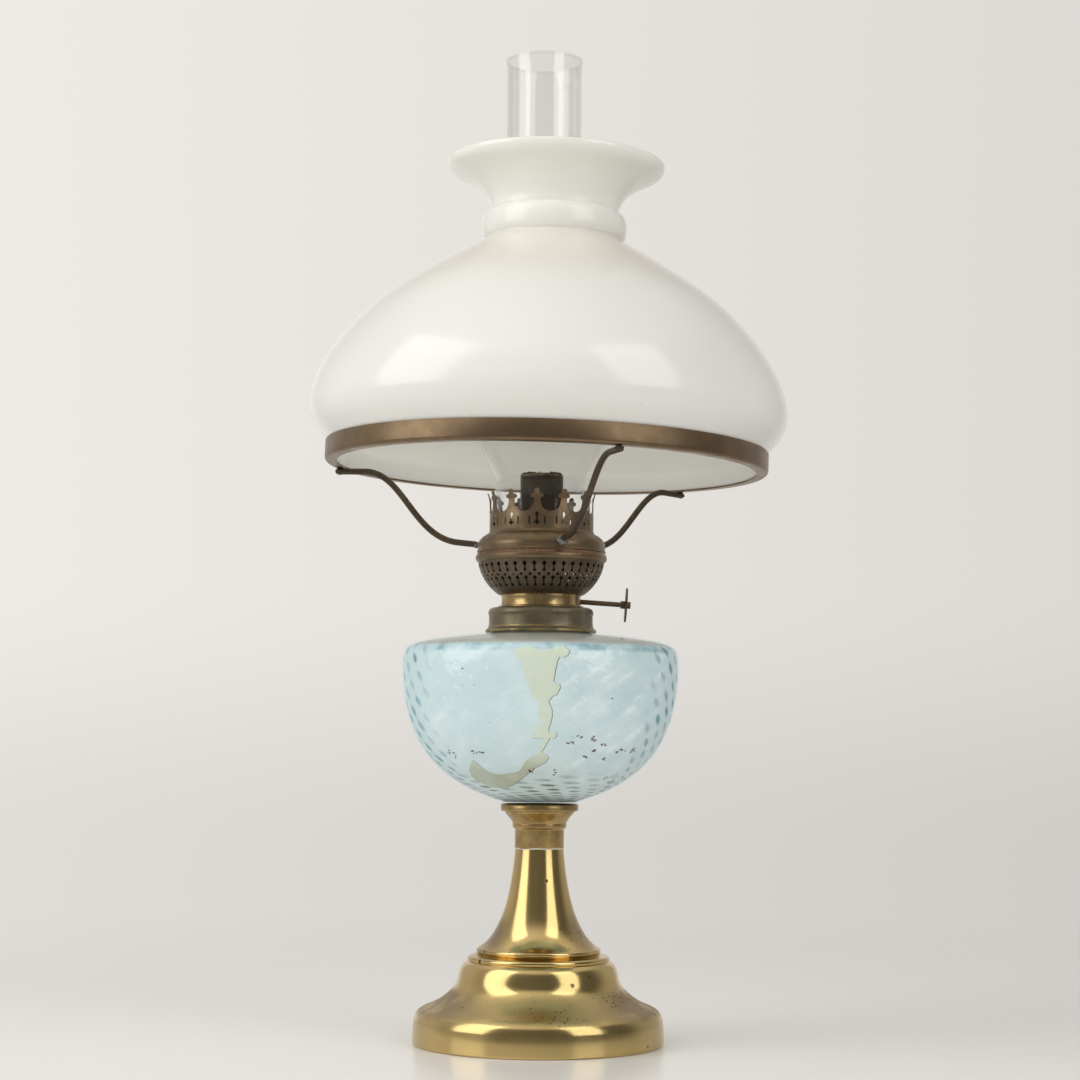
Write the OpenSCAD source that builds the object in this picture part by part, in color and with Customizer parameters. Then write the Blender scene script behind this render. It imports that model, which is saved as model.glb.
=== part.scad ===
// Kerosene table lamp: a weighted spun-brass foot, a blown glass font held in a brass cup, a round-wick
// burner, a glass chimney, and an opal glass shade on a ring that three soldered wires carry.
// Millimetres, +Z up, origin on the table under the middle of the foot, -Y is the front.

/* [Foot] */
// Outer radius of the rim that stands on the table
foot_r = 66.9; // [60:0.1:78]
// Height of the straight part of the rim
rim_h = 12.5; // [10:0.1:14]
// How far the shoulder rounds in from the rim
shoulder_in = 6.9; // [5.5:0.1:9]
// How far the shoulder rises above the rim
shoulder_up = 6.9; // [5:0.1:8.5]
// Radius of the bell above the sloping shoulder
bell_r = 42.9; // [40:0.1:47]
// Height of the upright part of the bell
bell_z = 34.5; // [31:0.1:36]
// Radius of the stem at its base, above the two beads
stem_base_r = 31.5; // [28:0.1:33]
// Height of the base of the stem
stem_base_z = 50.7; // [50:0.1:56]
// Radius of the stem at its top
stem_top_r = 13; // [11.5:0.1:15]
// Height of the foot with its stem
foot_h = 103; // [96:0.5:125]
// Thickness of the spun sheet
foot_wall = 0.9; // [0.6:0.05:1.2]
// Width of the hem turned in under the rim
hem_w = 4; // [2:0.1:8]
// Height up to which the foot is filled
fill_h = 56; // [30:0.5:75]
// Radius of the tie rod
rod_r = 3; // [2:0.1:4]

/* [Font cup] */
// Height of the cup above the stem
cup_h = 23.5; // [21:0.1:28]
// Radius of the cup's plain collar
cup_r = 13.2; // [12.4:0.1:14]
// Height of the cup's plain collar
cup_neck_h = 9.6; // [7:0.1:10]
// Radius of the bead above the plain collar
cup_bead_r = 14.4; // [13.8:0.1:15.5]
// Radius of the cup's lip
cup_lip_r = 20.9; // [19:0.1:24]
// Height of the cup's lip
cup_lip_h = 3.7; // [2.5:0.1:4.5]
// Depth of the bowl inside the cup
bowl_depth = 9; // [7.5:0.1:10]

/* [Font] */
// Largest radius of the font
font_r = 74.7; // [66:0.1:84]
// Height of the font from the cup's lip to the collar
font_h = 91.5; // [86:0.1:110]
// Height of the widest level above the cup's lip
belly_z = 74; // [68:0.1:76]
// Thickness of the blown glass
font_wall = 3.2; // [2:0.1:4]
// Thickness of the plaster bed in the cup
cement_t = 1.2; // [0.8:0.1:1.6]

/* [Font collar] */
// Height of the collar
collar_h = 13.6; // [12.5:0.1:16]
// Radius of the collar's side
collar_r = 28.2; // [27.5:0.1:30]
// Radius of the collar's foot flange
flange_r = 30; // [29.4:0.1:33]
// Thickness of the collar's sheet
collar_wall = 0.9; // [0.7:0.05:1]
// Radius of the burner's screw
thread_r = 21.55; // [20.5:0.05:22]

/* [Burner] */
// Height of the bright band under the basket
band_h = 6.9; // [6.5:0.1:9]
// Depth of the screwed skirt inside the collar
skirt_h = 11; // [9:0.1:13]
// Radius of the basket at its base
basket_base_r = 23.4; // [22.8:0.1:25]
// Radius of the basket at its top
basket_r = 34.1; // [32.5:0.1:38]
// Height of the basket
basket_h = 22.7; // [20:0.1:25]
// Thickness of the burner's sheet brass
sheet = 0.6; // [0.4:0.05:0.8]
// Number of pierced columns round the basket
columns = 40; // [24:2:48]
// Outer radius of the wick tube
tube_r = 11.6; // [10.8:0.1:12.5]
// How far the wick tube stands above the gallery
tube_rise = 30.9; // [24:0.1:36]
// How far the wick tube hangs below the collar's top
tube_drop = 18.6; // [14:0.1:24]
// Outer radius of the inner draught tube
draught_r = 8.2; // [7.4:0.1:8.6]
// How far the wick shows above its tube
wick_show = 1.2; // [0.6:0.1:3]
// How far the wick hangs below its tube
wick_tail = 9; // [4:0.5:14]
// How far the wick can be turned down
wick_down = 12; // [6:0.5:14]

/* [Wick raiser] */
// Radius of the raiser shaft
shaft_r = 1.35; // [1.2:0.05:1.6]
// Height of the shaft above the collar, at the lamp's axis
shaft_up = 5.4; // [4.6:0.1:5.6]
// How far the shaft droops towards the knob, in degrees
shaft_droop = 3.6; // [0:0.1:4.5]
// Distance of the knob from the lamp's axis
knob_x = 46; // [40:0.5:60]
// Radius of the knob
knob_r = 9.3; // [7:0.1:11]
// Thickness of the knob
knob_t = 1; // [0.8:0.1:2]
// Distance of each spiked wheel from the middle of the shaft
wheel_x = 4.5; // [3.5:0.1:5]

/* [Gallery] */
// Height of the dome
dome_h = 11.5; // [11:0.1:15]
// Height of the crown of prongs
crown_h = 21; // [20.8:0.1:26]
// Number of prongs
prongs = 12; // [8:1:14]

/* [Shade holder] */
// Radius of the three wires
wire_r = 1.7; // [1.3:0.05:2]
// Outer radius of the shade ring
ring_r = 120; // [110:0.5:126]
// Height of the shade ring
ring_h = 11; // [8:0.1:14]
// Thickness of the ring's sheet
ring_t = 1; // [0.7:0.05:1.4]
// Width of the ledge that the shade stands on
ledge_w = 6.5; // [5.5:0.1:9]
// Height of the ring above the gallery
ring_rise = 33.9; // [28:0.1:42]
// How far the hand-soldered ring sits off the axis
ring_shift = 2.4; // [0:0.1:4]
// How far the ring hangs down on its right, in degrees
lean_right = 1.5; // [0:0.1:1.8]
// How far the ring hangs down at its back, in degrees
lean_back = 0.6; // [0:0.1:1.8]

/* [Chimney] */
// Radius of the chimney's base
chimney_r = 26.5; // [25.5:0.1:28]
// Height of the chimney
chimney_h = 260.1; // [230:0.1:290]
// Thickness of the chimney glass
chimney_wall = 1.5; // [1.2:0.1:2]
// Radius of the waist above the base
waist_r = 24; // [22:0.1:25]
// Height of the waist
waist_z = 26.3; // [23:0.1:30]
// Radius of the bulge
bulge_r = 38; // [33:0.1:42]
// Height of the bulge
bulge_z = 61; // [54:0.1:68]
// Radius of the straight flue
flue_r = 20.6; // [18.5:0.1:23]
// Height where the straight flue starts
flue_z = 110.5; // [100:0.5:125]

/* [Shade] */
// Largest radius of the shade
shade_r = 129.6; // [127:0.1:140]
// Height of the widest level above the ring's foot
shade_belly_z = 31; // [28:0.1:36]
// Radius where the side turns into the dome
shoulder_r = 91.9; // [84:0.1:98]
// Height where the side turns into the dome
shoulder_z = 90.4; // [84:0.1:95]
// Thickness of the opal glass
shade_wall = 3.2; // [2.4:0.1:4]
// Radius of the shade's neck
shade_neck_r = 35; // [33:0.1:40]
// Height of the bead below the neck
bead_z = 134.4; // [130:0.1:138]
// Radius of the flared rim
shade_rim_r = 59.6; // [54:0.1:66]
// Height of the shade above the ring's foot
shade_h = 169.1; // [164:0.1:180]

/* [Hidden] */

// Clearances: soldered or cemented seats, screwed and sliding parts, and running shafts
seat_gap = 0.1;
slide_gap = 0.35;
run_gap = 0.05;
overrun = 1;
round_sides = 128;

// Foot: rolled edge of the rim, the two beads, and the handles of its curves
rim_roll = 1.2;
shoulder_start = [0, 3.4];
shoulder_end = [4.5, -1.6];
slope_start = [-7, 2.6];
slope_end = [1.3, -6.5];
bell_start = [-0.6, 3.5];
bell_top = [-3.4, 8.1];
bell_end = [1.9, -1.4];
low_bead = [-3.2, 2];
low_bead_r = 1.7;
low_bead_arc = [-35, 105];
high_bead = [0.2, -1.8];
high_bead_r = 1.5;
high_bead_arc = [-60, 80];
stem_start = [-8.5, 5];
stem_end = [2.8, -33];
plate_t = 0.8;
plate_top = foot_wall + plate_t;
pocket_h = 10;
washer_t = 1;
washer_w = 6;
washer_r = rod_r + washer_w;
nut_h = 5;
nut_w = 2.8;
nut_r = rod_r + nut_w;
rod_end = 1.5;
rod_grip = 8;
spigot_h = 4;

// Heights of the stack, from the table up
lip_z = foot_h + cup_h;
seat_z = lip_z + font_h;
collar_z = seat_z + 2 * seat_gap;
collar_top = collar_z + collar_h;
basket_z = collar_top + band_h;
dome_z = basket_z + basket_h;
gallery_z = dome_z + dome_h;
ring_z = gallery_z + ring_rise;
tube_top = gallery_z + tube_rise;
tube_bottom = collar_top - tube_drop;

// Font cup: bowl and ogee
lip_w = 2;
bowl_r = cup_lip_r - lip_w;
bowl_floor_r = 10.5;
bowl_start = [3, 0];
bowl_side = [-2.4, -4.5];
bowl_floor = cup_h - bowl_depth;
lip_step = 0.7;
lip_round = 0.6;
ogee_in = 2.3;
ogee_low = [0.6, 2];
ogee_high = [-1.4, -1.9];
bead_band = [2, 3.2, 3.6];

// Font: handles of its curves, and its neck inside the collar
foot_gap = 0.5;
font_foot_in = 1.3;
font_foot_r = cup_lip_r - font_foot_in;
underside = [30, 9];
side_handle = 48;
font_shoulder = [-8, 12.5];
shoulder_rise = 7.5;
shoulder_turn = [7, -2];
slope_sag = [-8.7, 2.4];
slope_lift = [13, -1.6];
sleeve_t = 1;
sleeve_h = 9;
collar_hole = thread_r + slide_gap;
collar_in = collar_r - collar_wall;
collar_top_t = 1.1;
flange_h = 1.6;
collar_waist = [[0.4, 2.2], [-0.3, 4], [-0.3, 7], [0.2, 10.4]];
collar_shoulder = [[0.2, -3], [0, -1.1], [-1.2, 0], [-3.5, 0]];
outer_bed = 1.1;
inner_bed = 0.7;
top_bed = 1.2;
neck_r = collar_in - outer_bed;
neck_bore = collar_hole + sleeve_t + inner_bed;
neck_top = collar_top - collar_top_t - top_bed;
neck_fillet = 0.7;
corner_drop = 2.1;
corner_in = 1.7;

// Burner: band, drip plate, draught duct and basket
band_in = 0.2;
band_r = thread_r - band_in;
skirt_wall = 1;
burner_bore = thread_r - skirt_wall;
stop_w = 1.35;
stop_r = thread_r + stop_w;
stop_t = 0.8;
drip_down = 7.4;
drip_z = collar_top - drip_down;
drip_t = 0.8;
vent_r = 1.6;
vents = 6;
tube_wall = 0.5;
wick_gap = 0.35;
wick_in = draught_r + wick_gap;
wick_out = tube_r - tube_wall - wick_gap;
wick_top = tube_top + wick_show;
wick_bottom = tube_bottom - wick_tail;
draught_wall = 0.6;
duct_w = 7;
duct_h = 8;
duct_up = 0.6;
duct_z = collar_top + duct_up;
basket_start = [3.8, 2.7];
basket_end = [-1.1, -8.5];
basket_straight = 5.2;
lip_profile = [[0, -5.2], [1.1, -4.2], [1.4, -3], [1.1, -1.6], [0.5, -0.4], [0.3, 0]];
low_slot = [0.9, 2.6, 6.2];
high_slot = [1.1, 9.6, 13.4];

// Wick raiser
shaft_stand = 0.9;
shaft_y = tube_r + shaft_r + shaft_stand;
shaft_z = collar_top + shaft_up;
bush_wall = 0.7;
bush_in = 12.5;
bush_out = 17.3;
wheel_t = 1.6;
wheel_teeth = 12;
tooth_h = 0.9;
wick_face = sqrt(wick_out * wick_out - pow(wheel_x - wheel_t / 2, 2));
wheel_r = shaft_y - wick_face - slide_gap;
wheel_room = 0.5;
bracket_t = 1.6;
bracket_gap = 3.1;
bracket_x = -(wheel_x + wheel_t / 2 + bracket_gap) - bracket_t;
bracket_w = 6;
bracket_top = 3.4;
shaft_tail = 1;
shaft_start = bracket_x - shaft_tail;
shaft_end = knob_x + knob_t + shaft_tail;
hub_r = 2.1;
hub_l = 2.5;
nub_r = 1.9;
nub_l = 2;
knob_teeth = 44;
knob_cut = 0.5;

// Gallery: dome on the basket, crown round the chimney
dome_over = 0.6;
dome_r = basket_r + dome_over;
spigot_r = basket_r - sheet - slide_gap;
dome_spigot = 2.4;
dome_brim = [0.2, 0.8];
dome_groove = [-0.4, 1.5];
dome_start = [-0.3, 1.9];
dome_side = [0.8, 3.6];
dome_turn = [5.2, -3.1];
crown_gap = 0.6;
crown_t = 0.5;
crown_r = chimney_r + crown_gap + crown_t;
crown_ledge = 0.4;
dome_top_r = crown_r + crown_ledge;
chimney_ledge = 1.5;
dome_hole = chimney_r - chimney_wall - chimney_ledge;
diffuser_r = dome_r + dome_groove.x - sheet - slide_gap;
diffuser_rows = 4;
diffuser_step = (diffuser_r - tube_r) / (diffuser_rows + 1);
diffuser_hole = 1;
diffuser_pitch = 5;
prong_turn = -95;
prong_half = crown_r * sin(180 / prongs);
valley_h = 9;
neck_h = 12.6;
prong_neck = 1.7;
arm_h = 17.4;
arm_w = 2.9;
arm_root = 1.7;
arm_round = [0.5, 1.2];
valley_turn = [-3.2, 0.6];
neck_turn = [0.5, -2.4];
prong_tip = 1.9;
tip_root = [-0.1, 1.6];
tip_swell = 2.2;
tip_round = [-0.5, -1];
tip_flat = 0.5;
cut_back = 0.6;
cut_start = (crown_r - crown_t) * cos(180 / prongs) - cut_back;
cross_slot = [0.9, 1.8, 6.4];
cross_arm = [2.6, 2.4, 0.9];

// Shade holder: wires from the dome out under the ring
wire_turns = [-72, 48, 168];
wire_sides = 14;
wire_steps = 22;
wire_up = 5;
wire_z = dome_z + wire_up;
wire_off = 0.6;
wire_in = dome_r + wire_off;
wire_lead = [11, 1.2];
wire_sweep = 26;
wire_settle = 22;
wire_run = 18;
wire_end = 1.5;
blob_r = 3.5;
blob_out = 1.6;
ring_blob_r = 3.4;
ring_blob_in = 3.5;
ring_blob_drop = 1.2;

// Chimney: handles of its curves
base_straight = 17.6;
base_turn = 4;
waist_turn = 3;
waist_rise = 6;
bulge_drop = 20;
bulge_rise = 15;
flue_drop = 23;
lip_flare = [0.8, 6];

// Shade: handles of its curves
shade_room = 0.9;
shade_foot_r = ring_r - ring_t - shade_room;
foot_straight = 9.5;
foot_turn = [0.6, 3.5];
belly_drop = 12;
belly_rise = 19;
shoulder_low = [16.9, -14.1];
shoulder_high = [-13.8, 11.6];
dome_end = [4, -9.3];
dome_flat = [13, -7.7];
bead_r = 5.5;
bead_out = -1;
bead_arc = [-62, 60];
neck_z = 7.2;
neck_rise = [0.6, 8.5];
flare_in = [-9.6, -8.9];
flare_pull = [-8, -4.4];
flare_push = [5.4, 2.5];
rim_height = 5;

// Points on a cubic curve from a to d with handles b and c, without its last point
function curve(a, b, c, d, steps) = [
    for (i = [0 : steps - 1])
        let (t = i / steps, u = 1 - t)
        u * u * u * a + 3 * u * u * t * b + 3 * u * t * t * c + t * t * t * d
];

// Points on an arc about c, from angle a0 to angle a1
function arc(c, r, a0, a1, steps) = [
    for (i = [0 : steps])
        let (a = a0 + (a1 - a0) * i / steps)
        c + r * [cos(a), sin(a)]
];

function reversed(p) = [for (i = [len(p) - 1 : -1 : 0]) p[i]];
function raised(p, z) = [for (q = p) q + [0, z]];
function unit(v) = v / norm(v);
function left(v) = [-v.y, v.x];

// Way to the left of a profile at point i, long enough to keep the wall even at a corner
function miter(p, i) =
    let (
        j = max(i, 1),
        k = min(i, len(p) - 2),
        before = left(unit(p[j] - p[j - 1])),
        after = left(unit(p[k + 1] - p[k]))
    )
    (before + after) / (1 + before * after);

// A profile moved to its left, which is inwards on a profile that climbs
function inset(p, depth) = [for (i = [0 : len(p) - 1]) p[i] + depth * miter(p, i)];

// A point of the ring's own frame, carried to the leaning ring
function on_ring(p) =
    let (
        y = p.y * cos(lean_back) + p.z * sin(lean_back),
        z = -p.y * sin(lean_back) + p.z * cos(lean_back)
    )
    [
        ring_shift + p.x * cos(lean_right) + z * sin(lean_right),
        y,
        ring_z - p.x * sin(lean_right) + z * cos(lean_right)
    ];

function polar(r, turn, z) = [r * cos(turn), r * sin(turn), z];

module revolved(p) {
    rotate_extrude($fn = round_sides)
        polygon(p);
}

module ring_of(outer, inner, h) {
    difference() {
        cylinder(r = outer, h = h, $fn = round_sides);
        translate([0, 0, -overrun])
            cylinder(r = inner, h = h + 2 * overrun, $fn = round_sides);
    }
}

module around(count, turn = 0) {
    for (i = [0 : count - 1])
        rotate([0, 0, turn + 360 * i / count])
            children();
}

// Places children in the frame of the drooping shaft, with the shaft along Z
module on_shaft(along) {
    translate([0, shaft_y, shaft_z])
        rotate([0, shaft_droop, 0])
            translate([along, 0, 0])
                rotate([0, 90, 0])
                    children();
}

module leaning() {
    translate([ring_shift, 0, ring_z])
        rotate([-lean_back, lean_right, 0])
            children();
}

// A round wire along a path that never runs straight up
module bent_wire(path, r) {
    last = len(path) - 1;
    rings = [
        for (i = [0 : last])
            let (
                along = unit(path[min(i + 1, last)] - path[max(i - 1, 0)]),
                side = unit(cross([0, 0, 1], along)),
                up = cross(along, side)
            )
            for (k = [0 : wire_sides - 1])
                path[i] + r * (side * cos(360 * k / wire_sides) + up * sin(360 * k / wire_sides))
    ];
    start = [for (k = [0 : wire_sides - 1]) k];
    end = [for (k = [wire_sides - 1 : -1 : 0]) last * wire_sides + k];
    sides = [
        for (i = [0 : last - 1], k = [0 : wire_sides - 1])
            let (
                a = i * wire_sides + k,
                b = i * wire_sides + (k + 1) % wire_sides
            )
            each [[a, a + wire_sides, b + wire_sides], [a, b + wire_sides, b]]
    ];
    polyhedron(rings, concat([start], sides, [end]));
}

bell = [bell_r, bell_z];
slope_foot = [foot_r - shoulder_in, rim_h + shoulder_up];
stem_base = [stem_base_r, stem_base_z];
stem_top = [stem_top_r, foot_h];
foot_side = concat(
    curve([foot_r, rim_h], [foot_r, rim_h] + shoulder_start, slope_foot + shoulder_end, slope_foot, 6),
    curve(slope_foot, slope_foot + slope_start, bell + slope_end, bell, 10),
    curve(bell, bell + bell_start, bell + bell_top + bell_end, bell + bell_top, 6),
    arc(bell + bell_top + low_bead, low_bead_r, low_bead_arc[0], low_bead_arc[1], 5),
    arc(stem_base + high_bead, high_bead_r, high_bead_arc[0], high_bead_arc[1], 5),
    curve(stem_base, stem_base + stem_start, stem_top + stem_end, stem_top, 14),
    [stem_top]
);
hem_r = foot_r - rim_roll - hem_w;

module foot_shell() {
    color("#b8943f")
        revolved(concat(
            [[hem_r, 0]],
            arc([foot_r - rim_roll, rim_roll], rim_roll, -90, 0, 4),
            foot_side,
            reversed(inset(foot_side, foot_wall)),
            [[foot_r - foot_wall, rim_roll + foot_wall]],
            [[foot_r - rim_roll - foot_wall / 4, foot_wall]],
            [[hem_r, foot_wall]]
        ));
}

module bottom_plate() {
    color("#8a8a86")
        translate([0, 0, foot_wall])
            cylinder(r = foot_r - rim_roll - foot_wall / 2, h = plate_t, $fn = round_sides);
}

fill_side = [for (p = inset(foot_side, foot_wall + seat_gap)) if (p.y < fill_h) p];

module foot_filling() {
    color("#d9d3c6")
        difference() {
            revolved(concat(
                [[0, plate_top], [foot_r - foot_wall - seat_gap, plate_top + rim_roll]],
                fill_side,
                [[0, fill_side[len(fill_side) - 1].y]]
            ));
            cylinder(r = rod_r + seat_gap, h = foot_h, $fn = round_sides);
            cylinder(r = washer_r + overrun, h = plate_top + pocket_h, $fn = round_sides);
        }
}

washer_z = plate_top + pocket_h - washer_t;

module tie_washer() {
    color("#9a9a96")
        translate([0, 0, washer_z])
            ring_of(washer_r, rod_r + seat_gap, washer_t);
}

module tie_nut() {
    color("#85857f")
        translate([0, 0, washer_z - nut_h])
            difference() {
                cylinder(r = nut_r, h = nut_h, $fn = 6);
                translate([0, 0, -overrun])
                    cylinder(r = rod_r + run_gap, h = nut_h + 2 * overrun, $fn = round_sides);
            }
}

rod_z = washer_z - nut_h - rod_end;
rod_top = foot_h - spigot_h + rod_grip;

module tie_rod() {
    color("#77777a")
        translate([0, 0, rod_z])
            cylinder(r = rod_r, h = rod_top - rod_z, $fn = round_sides);
}

bowl_end = [bowl_r, cup_h];
bowl_base = [bowl_floor_r, bowl_floor];
bowl = curve(bowl_base, bowl_base + bowl_start, bowl_end + bowl_side, bowl_end, 6);
ogee_start = [cup_bead_r, cup_neck_h + bead_band[2]];
ogee_end = [cup_lip_r - ogee_in, cup_h - cup_lip_h - lip_step];

module font_cup() {
    color("#9c7b38")
        translate([0, 0, foot_h])
            difference() {
                revolved(concat(
                    [[0, -spigot_h], [stem_top_r - foot_wall - seat_gap, -spigot_h]],
                    [[stem_top_r - foot_wall - seat_gap, 0], [cup_r - lip_round, 0]],
                    [[cup_r, lip_round], [cup_r, cup_neck_h]],
                    [[cup_bead_r, cup_neck_h + bead_band[0]], [cup_bead_r, cup_neck_h + bead_band[1]]],
                    curve(ogee_start, ogee_start + ogee_low, ogee_end + ogee_high, ogee_end, 5),
                    [ogee_end, [cup_lip_r - lip_step, cup_h - cup_lip_h]],
                    [[cup_lip_r, cup_h - cup_lip_h + 2 * lip_step], [cup_lip_r, cup_h - lip_round]],
                    [[cup_lip_r - lip_round, cup_h], bowl_end],
                    reversed(bowl),
                    [[0, bowl_floor]]
                ));
                translate([0, 0, -spigot_h - overrun])
                    cylinder(r = rod_r + run_gap, h = rod_grip + overrun + seat_gap, $fn = round_sides);
            }
}

module cup_cement() {
    color("#cfc8b8")
        translate([0, 0, foot_h])
            revolved(concat(
                [[0, bowl_floor + seat_gap]],
                inset(bowl, seat_gap),
                reversed(inset(bowl, cement_t - seat_gap)),
                [[0, bowl_floor + cement_t - seat_gap]]
            ));
}

font_foot = [font_foot_r, foot_gap];
belly = [font_r, belly_z];
slope_top = belly + font_shoulder;
slope_rim = [flange_r + overrun, font_h];
font_body = concat(
    curve(font_foot, font_foot + underside, belly - [0, side_handle], belly, 16),
    curve(belly, belly + [0, shoulder_rise], slope_top + shoulder_turn, slope_top, 8),
    curve(slope_top, slope_top + slope_sag, slope_rim + slope_lift, slope_rim, 6),
    [slope_rim]
);
font_inside = inset(font_body, font_wall);

module font() {
    color("#bcd6de", 0.6)
        translate([0, 0, lip_z])
            revolved(concat(
                [[0, bowl_floor + cement_t - cup_h]],
                raised(inset(bowl, cement_t), -cup_h),
                font_body,
                [[neck_r + neck_fillet, font_h], [neck_r, font_h + neck_fillet]],
                [[neck_r, neck_top - lip_z], [neck_bore, neck_top - lip_z]],
                [[neck_bore, font_h - font_wall]],
                reversed(font_inside),
                [[0, font_inside[0].y]]
            ));
}

collar_corner = [collar_in, collar_top - collar_top_t - corner_drop];
collar_ceiling = [collar_in - corner_in, collar_top - collar_top_t];

waist_line = [for (p = collar_waist) [collar_r, collar_z] + p];
shoulder_line = [for (p = collar_shoulder) [collar_r, collar_top] + p];

module font_collar() {
    color("#5d5138")
        revolved(concat(
            [[collar_in, collar_z], [flange_r, collar_z], [flange_r, collar_z + flange_h]],
            curve(waist_line[0], waist_line[1], waist_line[2], waist_line[3], 6),
            curve(shoulder_line[0], shoulder_line[1], shoulder_line[2], shoulder_line[3], 5),
            [shoulder_line[3], [collar_hole, collar_top]],
            [[collar_hole, collar_top - sleeve_h], [collar_hole + sleeve_t, collar_top - sleeve_h]],
            [[collar_hole + sleeve_t, collar_ceiling.y], collar_ceiling, collar_corner]
        ));
}

module collar_cement() {
    color("#cbc4b4")
        revolved([
            [neck_r + seat_gap, collar_z + neck_fillet],
            [collar_in - seat_gap, collar_z + neck_fillet],
            collar_corner - [seat_gap, seat_gap],
            collar_ceiling - [seat_gap, seat_gap],
            [collar_hole + sleeve_t + seat_gap, collar_ceiling.y - seat_gap],
            [collar_hole + sleeve_t + seat_gap, collar_top - sleeve_h + overrun],
            [neck_bore - seat_gap, collar_top - sleeve_h + overrun],
            [neck_bore - seat_gap, neck_top + seat_gap],
            [neck_r + seat_gap, neck_top + seat_gap]
        ]);
}

module burner_base() {
    color("#b08a35")
        difference() {
            translate([0, 0, collar_top])
                revolved([
                    [burner_bore, -skirt_h], [thread_r, -skirt_h], [thread_r, 0],
                    [stop_r, 0], [stop_r, stop_t], [band_r, stop_t],
                    [band_r, band_h], [burner_bore, band_h]
                ]);
            on_shaft(bush_in)
                cylinder(r = shaft_r + bush_wall + run_gap, h = thread_r, $fn = round_sides);
        }
}

module drip_plate() {
    color("#8c733f")
        translate([0, 0, drip_z])
            difference() {
                ring_of(burner_bore - seat_gap, tube_r + seat_gap, drip_t);
                around(vents, 180 / vents)
                    translate([(burner_bore + tube_r) / 2, 0, -overrun])
                        cylinder(r = vent_r, h = drip_t + 2 * overrun, $fn = 32);
            }
}

module wick_tube() {
    slot_r = wheel_r + wheel_room;
    slot_t = wheel_t + 2 * wheel_room;
    color("#4a3f33")
        difference() {
            translate([0, 0, tube_bottom])
                ring_of(tube_r, tube_r - tube_wall, tube_top - tube_bottom);
            translate([-duct_w / 2 - seat_gap, -tube_r - overrun, duct_z - seat_gap])
                cube([duct_w + 2 * seat_gap, tube_r, duct_h + 2 * seat_gap]);
            for (x = [-wheel_x, wheel_x])
                on_shaft(x - slot_t / 2)
                    cylinder(r = slot_r, h = slot_t, $fn = round_sides);
        }
}

module draught_tube() {
    inner = draught_r - draught_wall;
    color("#57493a")
        difference() {
            union() {
                translate([0, 0, duct_z - draught_wall])
                    cylinder(r = draught_r, h = tube_top - draught_wall - duct_z, $fn = round_sides);
                translate([-duct_w / 2, -tube_r - draught_wall, duct_z])
                    cube([duct_w, tube_r + draught_wall, duct_h]);
            }
            translate([0, 0, duct_z + draught_wall])
                cylinder(r = inner, h = tube_top, $fn = round_sides);
            translate([-duct_w / 2 + draught_wall, -tube_r - overrun, duct_z + draught_wall])
                cube([duct_w - 2 * draught_wall, tube_r, duct_h - 2 * draught_wall]);
        }
}

module wick() {
    slot_w = duct_w + 2 * slide_gap;
    slot_top = duct_z + duct_h + wick_down + wick_gap;
    color("#3a342c")
        difference() {
            translate([0, 0, wick_bottom])
                ring_of(wick_out, wick_in, wick_top - wick_bottom);
            translate([-slot_w / 2, -2 * wick_out, wick_bottom - overrun])
                cube([slot_w, 2 * wick_out, slot_top - wick_bottom + overrun]);
        }
}

basket_foot = [basket_base_r, sheet / 2];
basket_top = [basket_r, basket_h - basket_straight];
basket_curve = curve(basket_foot, basket_foot + basket_start, basket_top + basket_end, basket_top, 9);

// Upright slot through the basket's wall: its width, and the heights of its two ends
module basket_slot(slot) {
    translate([burner_bore, -slot[0] / 2, slot[1]])
        cube([basket_r, slot[0], slot[2] - slot[1]]);
}

module burner_basket() {
    color("#5b4a37")
        translate([0, 0, basket_z])
            difference() {
                revolved(concat(
                    [[burner_bore, 0], [basket_base_r - sheet, 0]],
                    basket_curve,
                    [for (p = lip_profile) [basket_r, basket_h] + p],
                    [[basket_r - sheet, basket_h], basket_top - [sheet, 0]],
                    reversed(inset(basket_curve, sheet)),
                    [[burner_bore, sheet]]
                ));
                around(columns, -90) {
                    basket_slot(low_slot);
                    basket_slot(high_slot);
                }
            }
}

module shaft_bush() {
    color("#8d7136")
        on_shaft(bush_in)
            ring_of(shaft_r + bush_wall, shaft_r + run_gap, bush_out - bush_in);
}

module raiser_bracket() {
    bracket_z = drip_z + drip_t;
    color("#7d6838")
        difference() {
            translate([bracket_x, shaft_y - bracket_w / 2, bracket_z])
                cube([bracket_t, bracket_w, shaft_z + bracket_top - bracket_z]);
            on_shaft(bracket_x - bracket_t)
                cylinder(r = shaft_r + run_gap, h = 3 * bracket_t, $fn = round_sides);
        }
}

module raiser_shaft() {
    color("#4d4030")
        on_shaft(shaft_start)
            cylinder(r = shaft_r, h = shaft_end - shaft_start, $fn = round_sides);
}

// Outline of a toothed wheel with straight-sided teeth
module toothed(r, teeth, depth) {
    polygon([
        for (i = [0 : 2 * teeth - 1])
            (r - depth * (i % 2)) * [cos(180 * i / teeth), sin(180 * i / teeth)]
    ]);
}

module raiser_wheels() {
    color("#8d7a4a")
        for (x = [-wheel_x, wheel_x])
            on_shaft(x - wheel_t / 2)
                difference() {
                    linear_extrude(wheel_t)
                        toothed(wheel_r, wheel_teeth, tooth_h);
                    translate([0, 0, -overrun])
                        cylinder(r = shaft_r + run_gap, h = wheel_t + 2 * overrun, $fn = round_sides);
                }
}

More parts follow.
